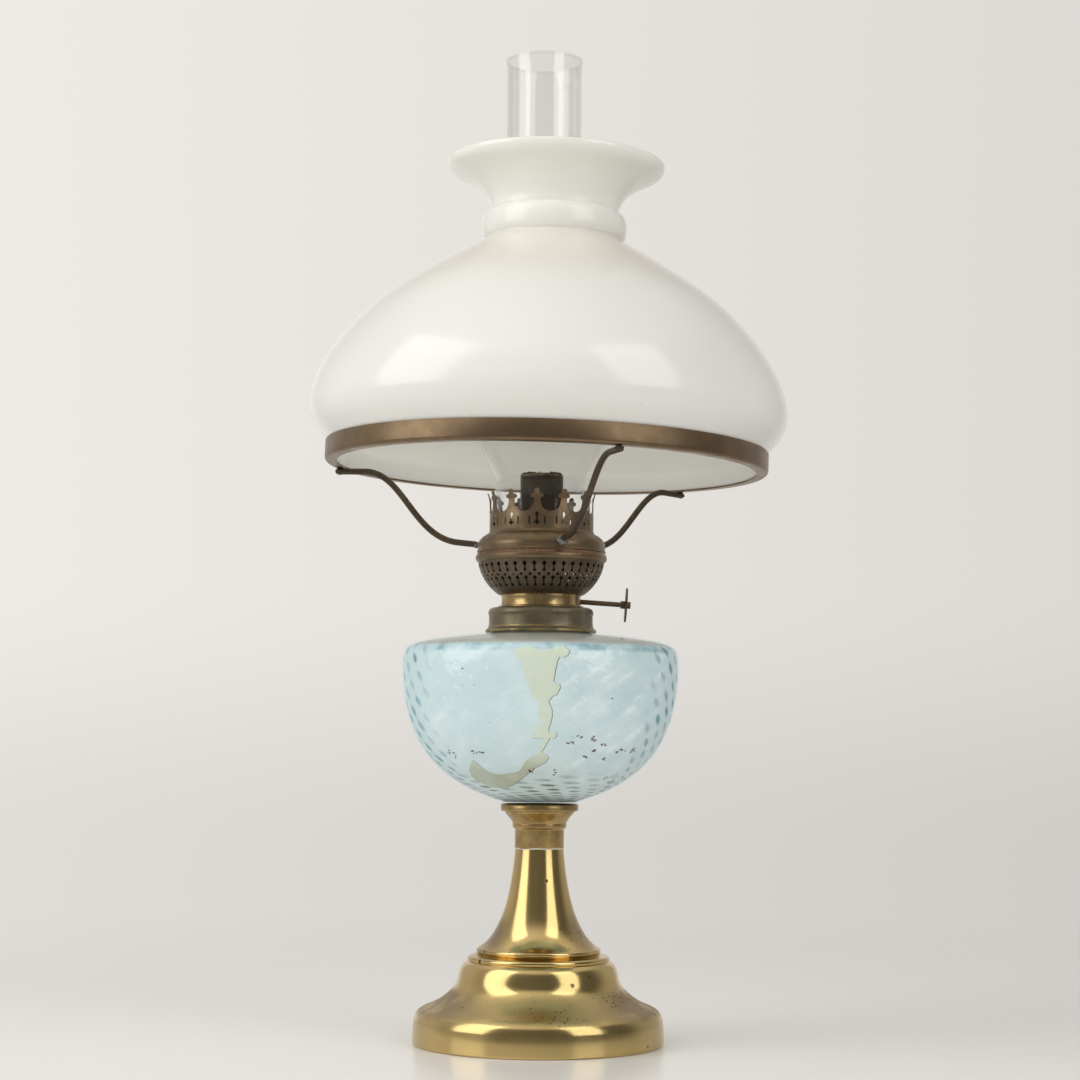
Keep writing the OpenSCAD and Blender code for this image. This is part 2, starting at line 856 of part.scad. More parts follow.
module wick_knob() {
    color("#6d5836")
        on_shaft(knob_x)
            difference() {
                union() {
                    linear_extrude(knob_t)
                        toothed(knob_r, knob_teeth, knob_cut);
                    translate([0, 0, -hub_l])
                        cylinder(r = hub_r, h = hub_l, $fn = round_sides);
                    cylinder(r = nub_r, h = knob_t + nub_l, $fn = round_sides);
                }
                translate([0, 0, -hub_l - overrun])
                    cylinder(r = shaft_r + run_gap, h = shaft_end - knob_x + hub_l + overrun + run_gap,
                        $fn = round_sides);
            }
}

dome_low = [dome_r, 0] + dome_start;
dome_high = [dome_top_r, dome_h - sheet];
dome_curve = curve(dome_low, dome_low + dome_side, dome_high + dome_turn, dome_high, 9);
dome_wide = max([for (p = dome_curve) p.x]);
dome_outside = concat(
    [[spigot_r, 0], [dome_r, 0] + [dome_brim.x, 0], [dome_r, 0] + dome_brim, [dome_r, 0] + dome_groove],
    dome_curve,
    [dome_high, [dome_top_r, dome_h]]
);

module gallery_dome() {
    color("#5f4d38")
        translate([0, 0, dome_z])
            revolved(concat(
                [[spigot_r - sheet, -dome_spigot], [spigot_r, -dome_spigot]],
                dome_outside,
                [[dome_hole, dome_h], [dome_hole, dome_h - sheet], dome_high - [sheet, sheet]],
                reversed(inset(dome_curve, sheet)),
                [[dome_r + dome_groove.x - sheet, dome_groove.y], [dome_r + dome_groove.x - sheet, sheet]],
                [[spigot_r - sheet, sheet]]
            ));
}

module air_diffuser() {
    color("#6a5638")
        translate([0, 0, dome_z + sheet])
            difference() {
                ring_of(diffuser_r, tube_r + slide_gap, sheet);
                for (i = [1 : diffuser_rows]) {
                    r = tube_r + i * diffuser_step;
                    around(floor(2 * PI * r / diffuser_pitch))
                        translate([r, 0, -overrun])
                            cylinder(r = diffuser_hole, h = sheet + 2 * overrun, $fn = 24);
                }
            }
}

valley = [prong_half, valley_h];
prong_root = [prong_neck, neck_h];
arm_end = [arm_w, arm_h];

// Half-width of a prong at a height, from the valley up over its arms to its tip
prong_edge = concat(
    curve(valley, valley + valley_turn, prong_root + neck_turn, prong_root, 5),
    [prong_root, [prong_neck, arm_h - arm_root], arm_end - arm_round, arm_end],
    [[arm_w - arm_round.x, arm_h + arm_round.y]],
    [[prong_tip, arm_h] + tip_root, [prong_tip, arm_h + tip_swell]],
    [[prong_tip, crown_h] + tip_round, [tip_flat, crown_h + overrun]]
);
gap_side = [for (p = prong_edge) [prong_half - p.x, p.y]];

// Opening between two prongs, cut outwards through the crown
module prong_gap() {
    translate([cut_start, 0, 0])
        rotate([90, 0, 90])
            linear_extrude(crown_r)
                polygon(concat(
                    gap_side,
                    [for (i = [len(gap_side) - 1 : -1 : 1]) [-gap_side[i].x, gap_side[i].y]]
                ));
}

// Cross pierced at the foot of each prong
module pierced_cross() {
    translate([cut_start, -cross_slot[0] / 2, cross_slot[1]])
        cube([crown_r, cross_slot[0], cross_slot[2] - cross_slot[1]]);
    translate([cut_start, -cross_arm[0] / 2, cross_arm[1]])
        cube([crown_r, cross_arm[0], cross_arm[2]]);
}

module chimney_crown() {
    color("#5f4d38")
        translate([0, 0, gallery_z])
            difference() {
                ring_of(crown_r, crown_r - crown_t, crown_h);
                around(prongs, prong_turn + 180 / prongs)
                    prong_gap();
                around(prongs, prong_turn)
                    pierced_cross();
            }
}

wire_start = function (turn) polar(wire_in, turn, wire_z);
wire_bend = function (turn) polar(wire_in + wire_lead.x, turn, wire_z + wire_lead.y);
wire_under = function (turn, r) on_ring(polar(r, turn, -wire_r - seat_gap));

module shade_wire(turn) {
    a = wire_start(turn);
    b = wire_bend(turn);
    c = wire_under(turn, ring_r - wire_run);
    d = wire_under(turn, ring_r - wire_end);
    color("#6b5842")
        bent_wire(concat(
            [a],
            curve(b, b + wire_sweep * unit(b - a), c - wire_settle * unit(d - c), c, wire_steps),
            [c, d]
        ), wire_r);
}

module shade_wire_front() {
    shade_wire(wire_turns[0]);
}

module shade_wire_right() {
    shade_wire(wire_turns[1]);
}

module shade_wire_left() {
    shade_wire(wire_turns[2]);
}

module wire_solder() {
    tilt = atan2(wire_lead.y, wire_lead.x);
    color("#8b8d88")
        for (turn = wire_turns)
            difference() {
                translate(polar(dome_r + blob_out, turn, wire_z))
                    rotate([0, 0, turn + 90])
                        sphere(r = blob_r, $fn = 48);
                translate([0, 0, dome_z])
                    cylinder(r = dome_wide + seat_gap, h = dome_h, $fn = round_sides);
                translate(wire_start(turn))
                    rotate([0, 90 - tilt, turn])
                        translate([0, 0, -seat_gap])
                            cylinder(r = wire_r + seat_gap, h = 2 * blob_r, $fn = 48);
            }
}

module ring_solder() {
    color("#85857c")
        leaning()
            for (turn = wire_turns)
                rotate([0, 0, turn])
                    translate([ring_r - ring_blob_in, 0, 0])
                        difference() {
                            translate([0, 0, -ring_blob_drop])
                                sphere(r = ring_blob_r, $fn = 48);
                            translate([-2 * ring_blob_r, -2 * ring_blob_r, -seat_gap])
                                cube(4 * ring_blob_r);
                            translate([-2 * ring_blob_r, 0, -wire_r - seat_gap])
                                rotate([0, 90, 0])
                                    cylinder(r = wire_r + seat_gap, h = 4 * ring_blob_r, $fn = 48);
                        }
}

module shade_ring() {
    color("#6b5842")
        leaning()
            revolved([
                [ring_r - ledge_w, 0], [ring_r, 0], [ring_r, ring_h], [ring_r - ring_t, ring_h],
                [ring_r - ring_t, ring_t], [ring_r - ledge_w, ring_t]
            ]);
}

waist = [waist_r, waist_z];
bulge = [bulge_r, bulge_z];
flue = [flue_r, flue_z];
chimney_side = concat(
    [[chimney_r, 0]],
    curve([chimney_r, base_straight], [chimney_r, base_straight + base_turn],
        waist - [0, waist_turn], waist, 6),
    curve(waist, waist + [0, waist_rise], bulge - [0, bulge_drop], bulge, 10),
    curve(bulge, bulge + [0, bulge_rise], flue - [0, flue_drop], flue, 12),
    [flue, [flue_r, chimney_h - lip_flare.y], [flue_r + lip_flare.x, chimney_h]]
);

module chimney() {
    color("#e8eeee", 0.35)
        translate([0, 0, gallery_z])
            revolved(concat(chimney_side, reversed(inset(chimney_side, chimney_wall))));
}

shade_belly = [shade_r, shade_belly_z];
shade_shoulder = [shoulder_r, shoulder_z];
bead_middle = [shade_neck_r + bead_out, bead_z];
dome_rim = bead_middle + dome_end;
neck = [shade_neck_r, bead_z + neck_z];
flare_mid = [shade_rim_r, shade_h] + flare_in;
shade_body = concat(
    [[shade_foot_r, ring_t]],
    curve([shade_foot_r, foot_straight], [shade_foot_r, foot_straight] + foot_turn,
        shade_belly - [0, belly_drop], shade_belly, 8),
    curve(shade_belly, shade_belly + [0, belly_rise], shade_shoulder + shoulder_low, shade_shoulder, 12),
    curve(shade_shoulder, shade_shoulder + shoulder_high, dome_rim + dome_flat, dome_rim, 10),
    [dome_rim]
);
shade_flare = concat(
    curve(neck, neck + neck_rise, flare_mid + flare_pull, flare_mid, 8),
    curve(flare_mid, flare_mid + flare_push, [shade_rim_r, shade_h - rim_height], [shade_rim_r, shade_h], 6),
    [[shade_rim_r, shade_h]]
);

module shade() {
    color("#ecece4")
        leaning()
            revolved(concat(
                shade_body,
                arc(bead_middle, bead_r, bead_arc[0], bead_arc[1], 9),
                shade_flare,
                reversed(inset(shade_flare, shade_wall)),
                [[shade_neck_r - shade_wall, dome_rim.y]],
                reversed(inset(shade_body, shade_wall))
            ));
}

foot_shell();
foot_filling();
bottom_plate();
tie_rod();
tie_nut();
tie_washer();
font_cup();
cup_cement();
font();
collar_cement();
font_collar();
burner_base();
drip_plate();
wick_tube();
draught_tube();
burner_basket();
shaft_bush();
raiser_bracket();
raiser_shaft();
raiser_wheels();
wick_knob();
wick();
gallery_dome();
air_diffuser();
chimney_crown();
shade_wire_front();
shade_wire_right();
shade_wire_left();
wire_solder();
ring_solder();
shade_ring();
chimney();
shade();
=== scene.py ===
"""Looks of a kerosene table lamp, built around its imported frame.

Lengths inside the classes are millimetres, as in the part's source, and become metres when a mesh is made.
Finishes and the studio are in metres, as Blender reads them. The lamp stands on the origin, +Z is up and the
viewer is on the -Y side.
"""

import logging
import math
import random
from dataclasses import dataclass, field
from enum import Enum
from typing import Callable, Dict, List, Mapping, Optional, Sequence, Tuple, Union

import bmesh
import bpy
from mathutils import Matrix, Vector, noise
from mathutils.geometry import delaunay_2d_cdt


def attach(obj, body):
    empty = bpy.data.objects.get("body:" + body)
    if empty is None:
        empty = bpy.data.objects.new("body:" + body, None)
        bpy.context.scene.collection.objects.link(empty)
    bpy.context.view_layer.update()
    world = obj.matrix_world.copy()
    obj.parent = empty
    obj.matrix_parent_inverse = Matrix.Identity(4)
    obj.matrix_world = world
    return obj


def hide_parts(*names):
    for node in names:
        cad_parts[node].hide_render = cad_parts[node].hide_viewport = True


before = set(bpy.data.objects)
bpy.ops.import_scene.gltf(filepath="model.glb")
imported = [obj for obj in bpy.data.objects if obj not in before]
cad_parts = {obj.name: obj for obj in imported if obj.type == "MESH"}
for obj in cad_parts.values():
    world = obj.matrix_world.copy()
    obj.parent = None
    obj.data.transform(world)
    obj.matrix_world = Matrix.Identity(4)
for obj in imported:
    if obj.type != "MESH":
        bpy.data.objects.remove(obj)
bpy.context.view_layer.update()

MM = 0.001
AXIS_GUARD = 0.001
WIRE_SIDES = 24
LOG = logging.getLogger("lamp")
Pair = Tuple[float, float]
Color = Tuple[float, float, float]
Faces = List[Tuple[int, ...]]
Piece = bpy.types.Object


class Body(Enum):
    """Moving bodies of the lamp, by their names in the frame."""

    STAND = "stand"
    BURNER = "burner"
    WICK = "wick"
    GALLERY = "gallery"
    CHIMNEY = "chimney"
    SHADE = "shade"


class Slot(Enum):
    """Material slots of the record."""

    POLISHED = "polished_brass"
    CAST = "cast_brass"
    DARK = "dark_brass"
    PATINA = "patinated_brass"
    WIRE = "bronze_wire"
    SOLDER = "solder"
    PLASTER = "plaster"
    BLUE = "blue_glass"
    CLEAR = "clear_glass"
    OPAL = "opal_glass"
    COTTON = "cotton_wick"


@dataclass(frozen=True)
class Levels:
    """Heights at which the lamp's pieces meet, from the table up."""

    stem: float = 103.0
    lip: float = 126.5
    seat: float = 218.0
    collar: float = 218.2
    screw: float = 231.8
    basket: float = 238.7
    dome: float = 261.4
    gallery: float = 272.9
    wick: float = 305.0
    ring: float = 306.8


LEVEL = Levels()


# Shader graphs


class Wire:
    """A socket's output, on which arithmetic adds the nodes that work it out."""

    def __init__(self, graph: "Graph", socket: bpy.types.NodeSocket) -> None:
        """Keeps the socket and the graph it belongs to."""
        self.graph = graph
        self.socket = socket

    def __add__(self, other: "Value") -> "Wire":
        """Sum of two values."""
        return self.graph.math("ADD", self, other)

    def __radd__(self, other: "Value") -> "Wire":
        """Sum with a plain number on the left."""
        return self.graph.math("ADD", other, self)

    def __sub__(self, other: "Value") -> "Wire":
        """Difference of two values."""
        return self.graph.math("SUBTRACT", self, other)

    def __rsub__(self, other: "Value") -> "Wire":
        """Difference with a plain number on the left."""
        return self.graph.math("SUBTRACT", other, self)

    def __mul__(self, other: "Value") -> "Wire":
        """Product of two values."""
        return self.graph.math("MULTIPLY", self, other)

    def __rmul__(self, other: "Value") -> "Wire":
        """Product with a plain number on the left."""
        return self.graph.math("MULTIPLY", other, self)

    def __truediv__(self, other: "Value") -> "Wire":
        """Quotient of two values."""
        return self.graph.math("DIVIDE", self, other)

    def __rtruediv__(self, other: "Value") -> "Wire":
        """Quotient with a plain number on the left."""
        return self.graph.math("DIVIDE", other, self)

    def __pow__(self, other: "Value") -> "Wire":
        """Power of a value."""
        return self.graph.math("POWER", self, other)

    def __neg__(self) -> "Wire":
        """A value with its sign turned."""
        return self.graph.math("MULTIPLY", self, -1.0)

    def __abs__(self) -> "Wire":
        """Size of a value without its sign."""
        return self.graph.math("ABSOLUTE", self)

    def cos(self) -> "Wire":
        """Cosine of an angle in radians."""
        return self.graph.math("COSINE", self)

    def most(self, other: "Value") -> "Wire":
        """Larger of two values."""
        return self.graph.math("MAXIMUM", self, other)

    def step(self, low: float, high: float) -> "Wire":
        """Smooth step between two values.

        Args:
            low: Where the step is 0. It may be the larger of the two.
            high: Where the step is 1.

        Returns:
            A value from 0 to 1.
        """
        node = self.graph.node(
            "ShaderNodeMapRange",
            {"interpolation_type": "SMOOTHSTEP"},
            {"Value": self, "From Min": low, "From Max": high},
        )
        return self.graph.wire(node)

    def band(self, low: float, high: float, soft: float) -> "Wire":
        """1 between two values, with edges of a soft half width about them."""
        return self.step(low - soft, low + soft) * self.step(high + soft, high - soft)

    def toward(self, other: "Value", share: "Value") -> "Wire":
        """A value moved towards another by a share of the way."""
        return self + (other - self) * share


Value = Union[Wire, float]
Tone = Union[Wire, Color]


class Graph:
    """The nodes of one material or world."""

    def __init__(self, tree: bpy.types.NodeTree) -> None:
        """Empties the tree and starts anew."""
        self.tree = tree
        tree.nodes.clear()

    def node(
        self,
        kind: str,
        settings: Optional[Mapping[str, object]] = None,
        sockets: Optional[Mapping[Union[str, int], object]] = None,
    ) -> bpy.types.Node:
        """Adds a node.

        Args:
            kind: Node type.
            settings: Properties that are set first.
            sockets: Values or wires by socket name or number.

        Returns:
            The new node.
        """
        node = self.tree.nodes.new(kind)
        for name, value in (settings or {}).items():
            setattr(node, name, value)
        for key, value in (sockets or {}).items():
            if isinstance(value, Wire):
                self.tree.links.new(value.socket, node.inputs[key])
            elif isinstance(value, tuple) and len(value) == 3 and len(node.inputs[key].default_value) == 4:
                node.inputs[key].default_value = (*value, 1.0)
            else:
                node.inputs[key].default_value = value
        return node

    def wire(self, node: bpy.types.Node, output: Union[str, int] = 0) -> Wire:
        """An output of a node as a wire."""
        return Wire(self, node.outputs[output])

    def math(self, operation: str, *values: Value) -> Wire:
        """A Math node on one or two values."""
        return self.wire(self.node("ShaderNodeMath", {"operation": operation}, dict(enumerate(values))))

    def place(self) -> Wire:
        """Position on the object, in metres."""
        return self.wire(self.node("ShaderNodeTexCoord"), "Object")

    def axes(self, vector: Wire) -> Tuple[Wire, Wire, Wire]:
        """The three parts of a vector."""
        split = self.node("ShaderNodeSeparateXYZ", None, {0: vector})
        return self.wire(split, 0), self.wire(split, 1), self.wire(split, 2)

    def joined(self, x: Value, y: Value, z: Value) -> Wire:
        """A vector from three values."""
        return self.wire(self.node("ShaderNodeCombineXYZ", None, {0: x, 1: y, 2: z}))

    def written(self, name: str) -> Wire:
        """A value that the mesh carries on its corners."""
        return self.wire(self.node("ShaderNodeAttribute", {"attribute_name": name}), "Fac")

    def radius(self, x: Wire, y: Wire) -> Wire:
        """Distance from the lamp's axis."""
        return (x * x + y * y) ** 0.5

    def cloud(self, scale: float, detail: float = 4, rough: float = 0.55, at: Optional[Wire] = None) -> Wire:
        """Noise about 0.5, by waves to the metre, finer waves, their strength and where it is read."""
        sockets = {"Vector": at or self.place(), "Scale": scale, "Detail": detail, "Roughness": rough}
        return self.wire(self.node("ShaderNodeTexNoise", None, sockets))

    def cells(self, scale: float) -> Wire:
        """Distance to the nearest of scattered points, in cells."""
        return self.wire(self.node("ShaderNodeTexVoronoi", None, {"Vector": self.place(), "Scale": scale}))

    def blend(self, share: Value, first: Tone, second: Tone) -> Wire:
        """A mix of two colours by a share of the second."""
        node = self.node("ShaderNodeMix", {"data_type": "RGBA"}, {0: share, 6: first, 7: second})
        return self.wire(node, 2)

    def layers(self, base: Tone, *coats: Tuple[Value, Tone]) -> Tone:
        """Colours laid over each other.

        Args:
            base: The lowest colour.
            coats: Share and colour of each coat, from the lowest up.

        Returns:
            The colour on top.
        """
        for share, tone in coats:
            base = self.blend(share, base, tone)
        return base

    def relief(self, height: Wire, depth: float, strength: float) -> Wire:
        """A normal from a height of 0 to 1, the metres it stands for and a share of the effect."""
        sockets = {"Height": height, "Distance": depth, "Strength": strength}
        return self.wire(self.node("ShaderNodeBump", None, sockets))

    def principled(self, sockets: Mapping[str, object]) -> Wire:
        """A Principled shader."""
        return self.wire(self.node("ShaderNodeBsdfPrincipled", None, sockets))

    def mixed(self, share: Value, first: Wire, second: Wire) -> Wire:
        """A mix of two shaders by a share of the second."""
        return self.wire(self.node("ShaderNodeMixShader", None, {0: share, 1: first, 2: second}))


# Finishes


@dataclass(frozen=True)
class Finish:
    """A material of the lamp, made once and shared by its pieces."""

    name: str

    def shader(self, g: Graph) -> Wire:
        """The shader of this finish, made in each kind of finish."""
        raise NotImplementedError

    def material(self) -> bpy.types.Material:
        """The finish as a material.

        Returns:
            The material, made at the first call.
        """
        found = bpy.data.materials.get(self.name)
        if found:
            return found
        material = bpy.data.materials.new(self.name)
        material.use_nodes = True
        graph = Graph(material.node_tree)
        graph.node("ShaderNodeOutputMaterial", None, {"Surface": self.shader(graph)})
        return material


@dataclass(frozen=True)
class SpunBrass(Finish):
    """Polished brass, tarnished on its slopes, pitted on one side, with painted shade on its flanks."""

    gold: Color = (0.71, 0.525, 0.225)
    green: Color = (0.62, 0.48, 0.20)
    dull: Color = (0.37, 0.27, 0.155)
    pit: Color = (0.05, 0.034, 0.022)
    gloss: float = 0.15
    slope: Pair = (0.0165, 0.029)
    neck: Pair = (0.047, 0.066)

    def shader(self, g: Graph) -> Wire:
        """Gold and olive clouds, dull patches, painted shade at the flanks, pits and fine turned lines.

        Args:
            g: Graph that takes the nodes.

        Returns:
            The shader.
        """
        x, y, z = g.axes(g.place())
        across = g.radius(x, y)
        side = (abs(x) / (across + AXIS_GUARD)).step(0.50, 0.95)
        slope = z.band(*self.slope, 0.002)
        neck = z.band(*self.neck, 0.007)
        # Dull brown: tarnish on the slopes and neck, painted shade at the flanks where side raises it.
        tarnish_and_flank_shade = slope * 0.3 + (slope * 0.6 + neck * 0.85 + 0.25) * side + 0.06
        dull = tarnish_and_flank_shade * g.cloud(34, 6, 0.62).step(0.28, 0.62)
        pitted = g.cloud(42, 3).step(0.48, 0.62) * (slope * 0.9 + neck * 0.5 + 0.12) * x.step(-0.04, 0.012)
        pits = g.cells(380).step(0.30, 0.14) * pitted
        spots = g.cells(130).step(0.19, 0.11) * g.cloud(55, 2).step(0.56, 0.64)
        marks = pits.most(spots * 0.85)
        olive = g.cloud(16, 3).step(0.35, 0.65)
        lines = g.cloud(1, 2, 0.5, g.joined(across * 900, 0.0, z * 900))
        height = lines * 0.1 + g.cloud(420, 4) * (dull * 0.45 + 0.03) - marks
        grime = dull * 0.2 + slope * 0.12 + marks * 0.35
        return g.principled({
            "Base Color": g.layers(self.gold, (olive, self.green), (dull, self.dull), (marks, self.pit)),
            "Metallic": 1.0, "Roughness": self.gloss + grime + (g.cloud(120, 5) - 0.5) * 0.09,
            "Normal": g.relief(height, 0.00003, 0.5),
        })


@dataclass(frozen=True)
class AgedMetal(Finish):
    """Darkened metal with a second tone in clouds, bright wear at chosen heights and a fine grain."""

    base: Color = (0.2, 0.15, 0.09)
    second: Color = (0.12, 0.09, 0.06)
    bright: Color = (0.50, 0.36, 0.14)
    worn: Tuple[Pair, ...] = ()
    clouds: float = 60.0
    gloss: float = 0.34
    spread: float = 0.18
    grain: float = 0.00012
    brushed: float = 0.0
    metal: float = 0.6

    def shader(self, g: Graph) -> Wire:
        """Two clouded tones, worn bands in millimetres of height, and grain.

        Args:
            g: Graph that takes the nodes.

        Returns:
            The shader.
        """
        _, _, z = g.axes(g.place())
        cloud = g.cloud(self.clouds, 6, 0.6).step(0.34, 0.66)
        fine = g.cloud(self.clouds * 9, 5, 0.6)
        spots = tuple(c * 0.55 for c in self.base)
        color = g.layers(self.base, (cloud, self.second), (fine.step(0.55, 0.75) * 0.4, spots))
        rough = self.gloss + cloud * self.spread + (fine - 0.5) * 0.1
        for low, high in self.worn:
            band = z.band(low * MM, high * MM, (high - low) * 0.25 * MM) * g.cloud(150, 4).step(0.34, 0.62)
            color = g.blend(band, color, self.bright)
            rough = rough - band * (self.gloss * 0.4)
        height = fine * 0.7 + g.cloud(self.clouds * 30, 3) * 0.3
        if self.brushed:
            height = height + g.cloud(1, 3, 0.6, g.joined(0.0, 0.0, z * 2600)) * self.brushed
        return g.principled({
            "Base Color": color, "Metallic": self.metal, "Roughness": rough,
            "Normal": g.relief(height, self.grain, 0.6),
        })


@dataclass(frozen=True)
class DullSolid(Finish):
    """A matt mineral or iron surface with clouds and grain."""

    base: Color = (0.6, 0.56, 0.5)
    second: Color = (0.45, 0.42, 0.37)
    metal: float = 0.0
    rough: float = 0.8
    grain: float = 0.0002

    def shader(self, g: Graph) -> Wire:
        """Two clouded tones over a grain.

        Args:
            g: Graph that takes the nodes.

        Returns:
            The shader.
        """
        cloud = g.cloud(70, 6, 0.65)
        return g.principled({
            "Base Color": g.blend(cloud.step(0.3, 0.7), self.base, self.second),
            "Metallic": self.metal, "Roughness": self.rough + (cloud - 0.5) * 0.2,
            "Normal": g.relief(g.cloud(900, 4), self.grain, 0.7),
        })


@dataclass(frozen=True)
class OpalGlass(Finish):
    """Glossy white cased glass, a little warm on its dome and green-grey in its flare."""

    white: Color = (0.83, 0.83, 0.80)
    warm: Color = (0.80, 0.765, 0.69)
    flare: Color = (0.885, 0.89, 0.83)
    speck: Color = (0.30, 0.25, 0.18)
    dome: Pair = (0.383, 0.423)
    bead: Pair = (0.438, 0.426)
    neck: Pair = (0.438, 0.450)

    def shader(self, g: Graph) -> Wire:
        """White clouds by height, sparse specks and a soft waviness.

        Args:
            g: Graph that takes the nodes.

        Returns:
            The shader.
        """
        _, _, z = g.axes(g.place())
        dome = z.step(*self.dome) * z.step(*self.bead) * (g.cloud(13, 3) * 0.8 + 0.4)
        specks = g.cells(95).step(0.055, 0.035) * g.cloud(20, 2).step(0.56, 0.62) * 0.8
        return g.principled({
            "Base Color": g.layers(
                self.white, (dome, self.warm), (z.step(*self.neck), self.flare), (specks, self.speck)
            ),
            "Roughness": 0.2 + (g.cloud(60, 4) - 0.5) * 0.08,
            "IOR": 1.5, "Coat Weight": 0.5, "Coat Roughness": 0.09,
            "Subsurface Weight": 0.35, "Subsurface Scale": 0.006, "Subsurface Radius": (1.0, 1.0, 0.9),
            "Normal": g.relief(g.cloud(26, 2), 0.0006, 0.35),
        })


@dataclass(frozen=True)
class Film(Finish):
    """Thin glass that shows what is behind it, with a white gloss that grows towards its edges."""

    tint: Color = (0.987, 0.988, 0.984)
    white: Color = (0.97, 0.98, 0.975)
    rise: float = 3.0
    edge: float = 0.75
    face: float = 0.014

    def film(self, g: Graph, normal: Wire, rough: Value, more: Value = 0.0) -> Wire:
        """A clear film and a white gloss, mixed by how much the wall is seen on edge.

        Args:
            g: Graph that takes the nodes.
            normal: Bent normal of the glass.
            rough: Roughness of the gloss.
            more: Gloss beyond that of the whole face.

        Returns:
            The shader.
        """
        gloss = g.principled({
            "Base Color": self.white, "Metallic": 1.0, "Roughness": rough, "Normal": normal,
        })
        clear = g.wire(g.node("ShaderNodeBsdfTransparent", None, {"Color": self.tint}))
        facing = g.wire(g.node("ShaderNodeLayerWeight", None, {"Normal": normal}), "Facing")
        return g.mixed(facing ** self.rise * self.edge + more + self.face, clear, gloss)


@dataclass(frozen=True)
class ClearGlass(Film):
    """Blown glass of the chimney, glossier where it stands out of the shade."""

    flue: Pair = (0.43, 0.45)

    def shader(self, g: Graph) -> Wire:
        """A wavy film.

        Args:
            g: Graph that takes the nodes.

        Returns:
            The shader.
        """
        normal = g.relief(g.cloud(18, 2), 0.0004, 0.25)
        rough = 0.03 + g.cloud(40, 3).step(0.55, 0.8) * 0.02
        _, _, z = g.axes(g.place())
        return self.film(g, normal, rough, z.step(*self.flue) * 0.04)


@dataclass(frozen=True)
class Optic:
    """The pattern blown into the font: twisted columns of staggered drops that shrink with the radius."""

    columns: int = 18
    row: float = 9.4
    widest: float = 74.7
    twist: float = 0.62
    slim: float = 4.2
    short: float = 1.1
    ragged: float = 1.6

    def drops(self, g: Graph) -> Wire:
        """Height of the pattern, from 0 between the drops to 1 on them.

        Args:
            g: Graph that takes the nodes.

        Returns:
            The height.
        """
        x, y, _ = g.axes(g.place())
        climb = g.written("climb")
        lean = ((g.math("ARCTAN2", x, -y) + climb * self.twist) * self.columns).cos()
        rise = (climb * (2 * math.pi * self.widest / self.row)).cos() * 0.5 + 0.5
        blur = (g.cloud(95, 3) - 0.5) * self.ragged
        even = (1.0 - lean) * self.slim + (1.0 - rise) * self.short + blur
        odd = (1.0 + lean) * self.slim + rise * self.short + blur
        return even.step(1.25, 0.3).most(odd.step(1.25, 0.3))


@dataclass(frozen=True)
class FontSkin(Film):
    """Outer face of the font: clear, glossy and dimpled by the pattern."""

    tint: Color = (0.95, 0.985, 0.99)
    white: Color = (0.95, 0.97, 0.98)
    rise: float = 4.0
    edge: float = 0.3
    face: float = 0.05
    optic: Optic = Optic()

    def shader(self, g: Graph) -> Wire:
        """A film over the pattern's dimples."""
        height = self.optic.drops(g) * 0.25 + g.cloud(60, 4) * 0.9
        return self.film(g, g.relief(height, 0.0016, 0.6), 0.05)


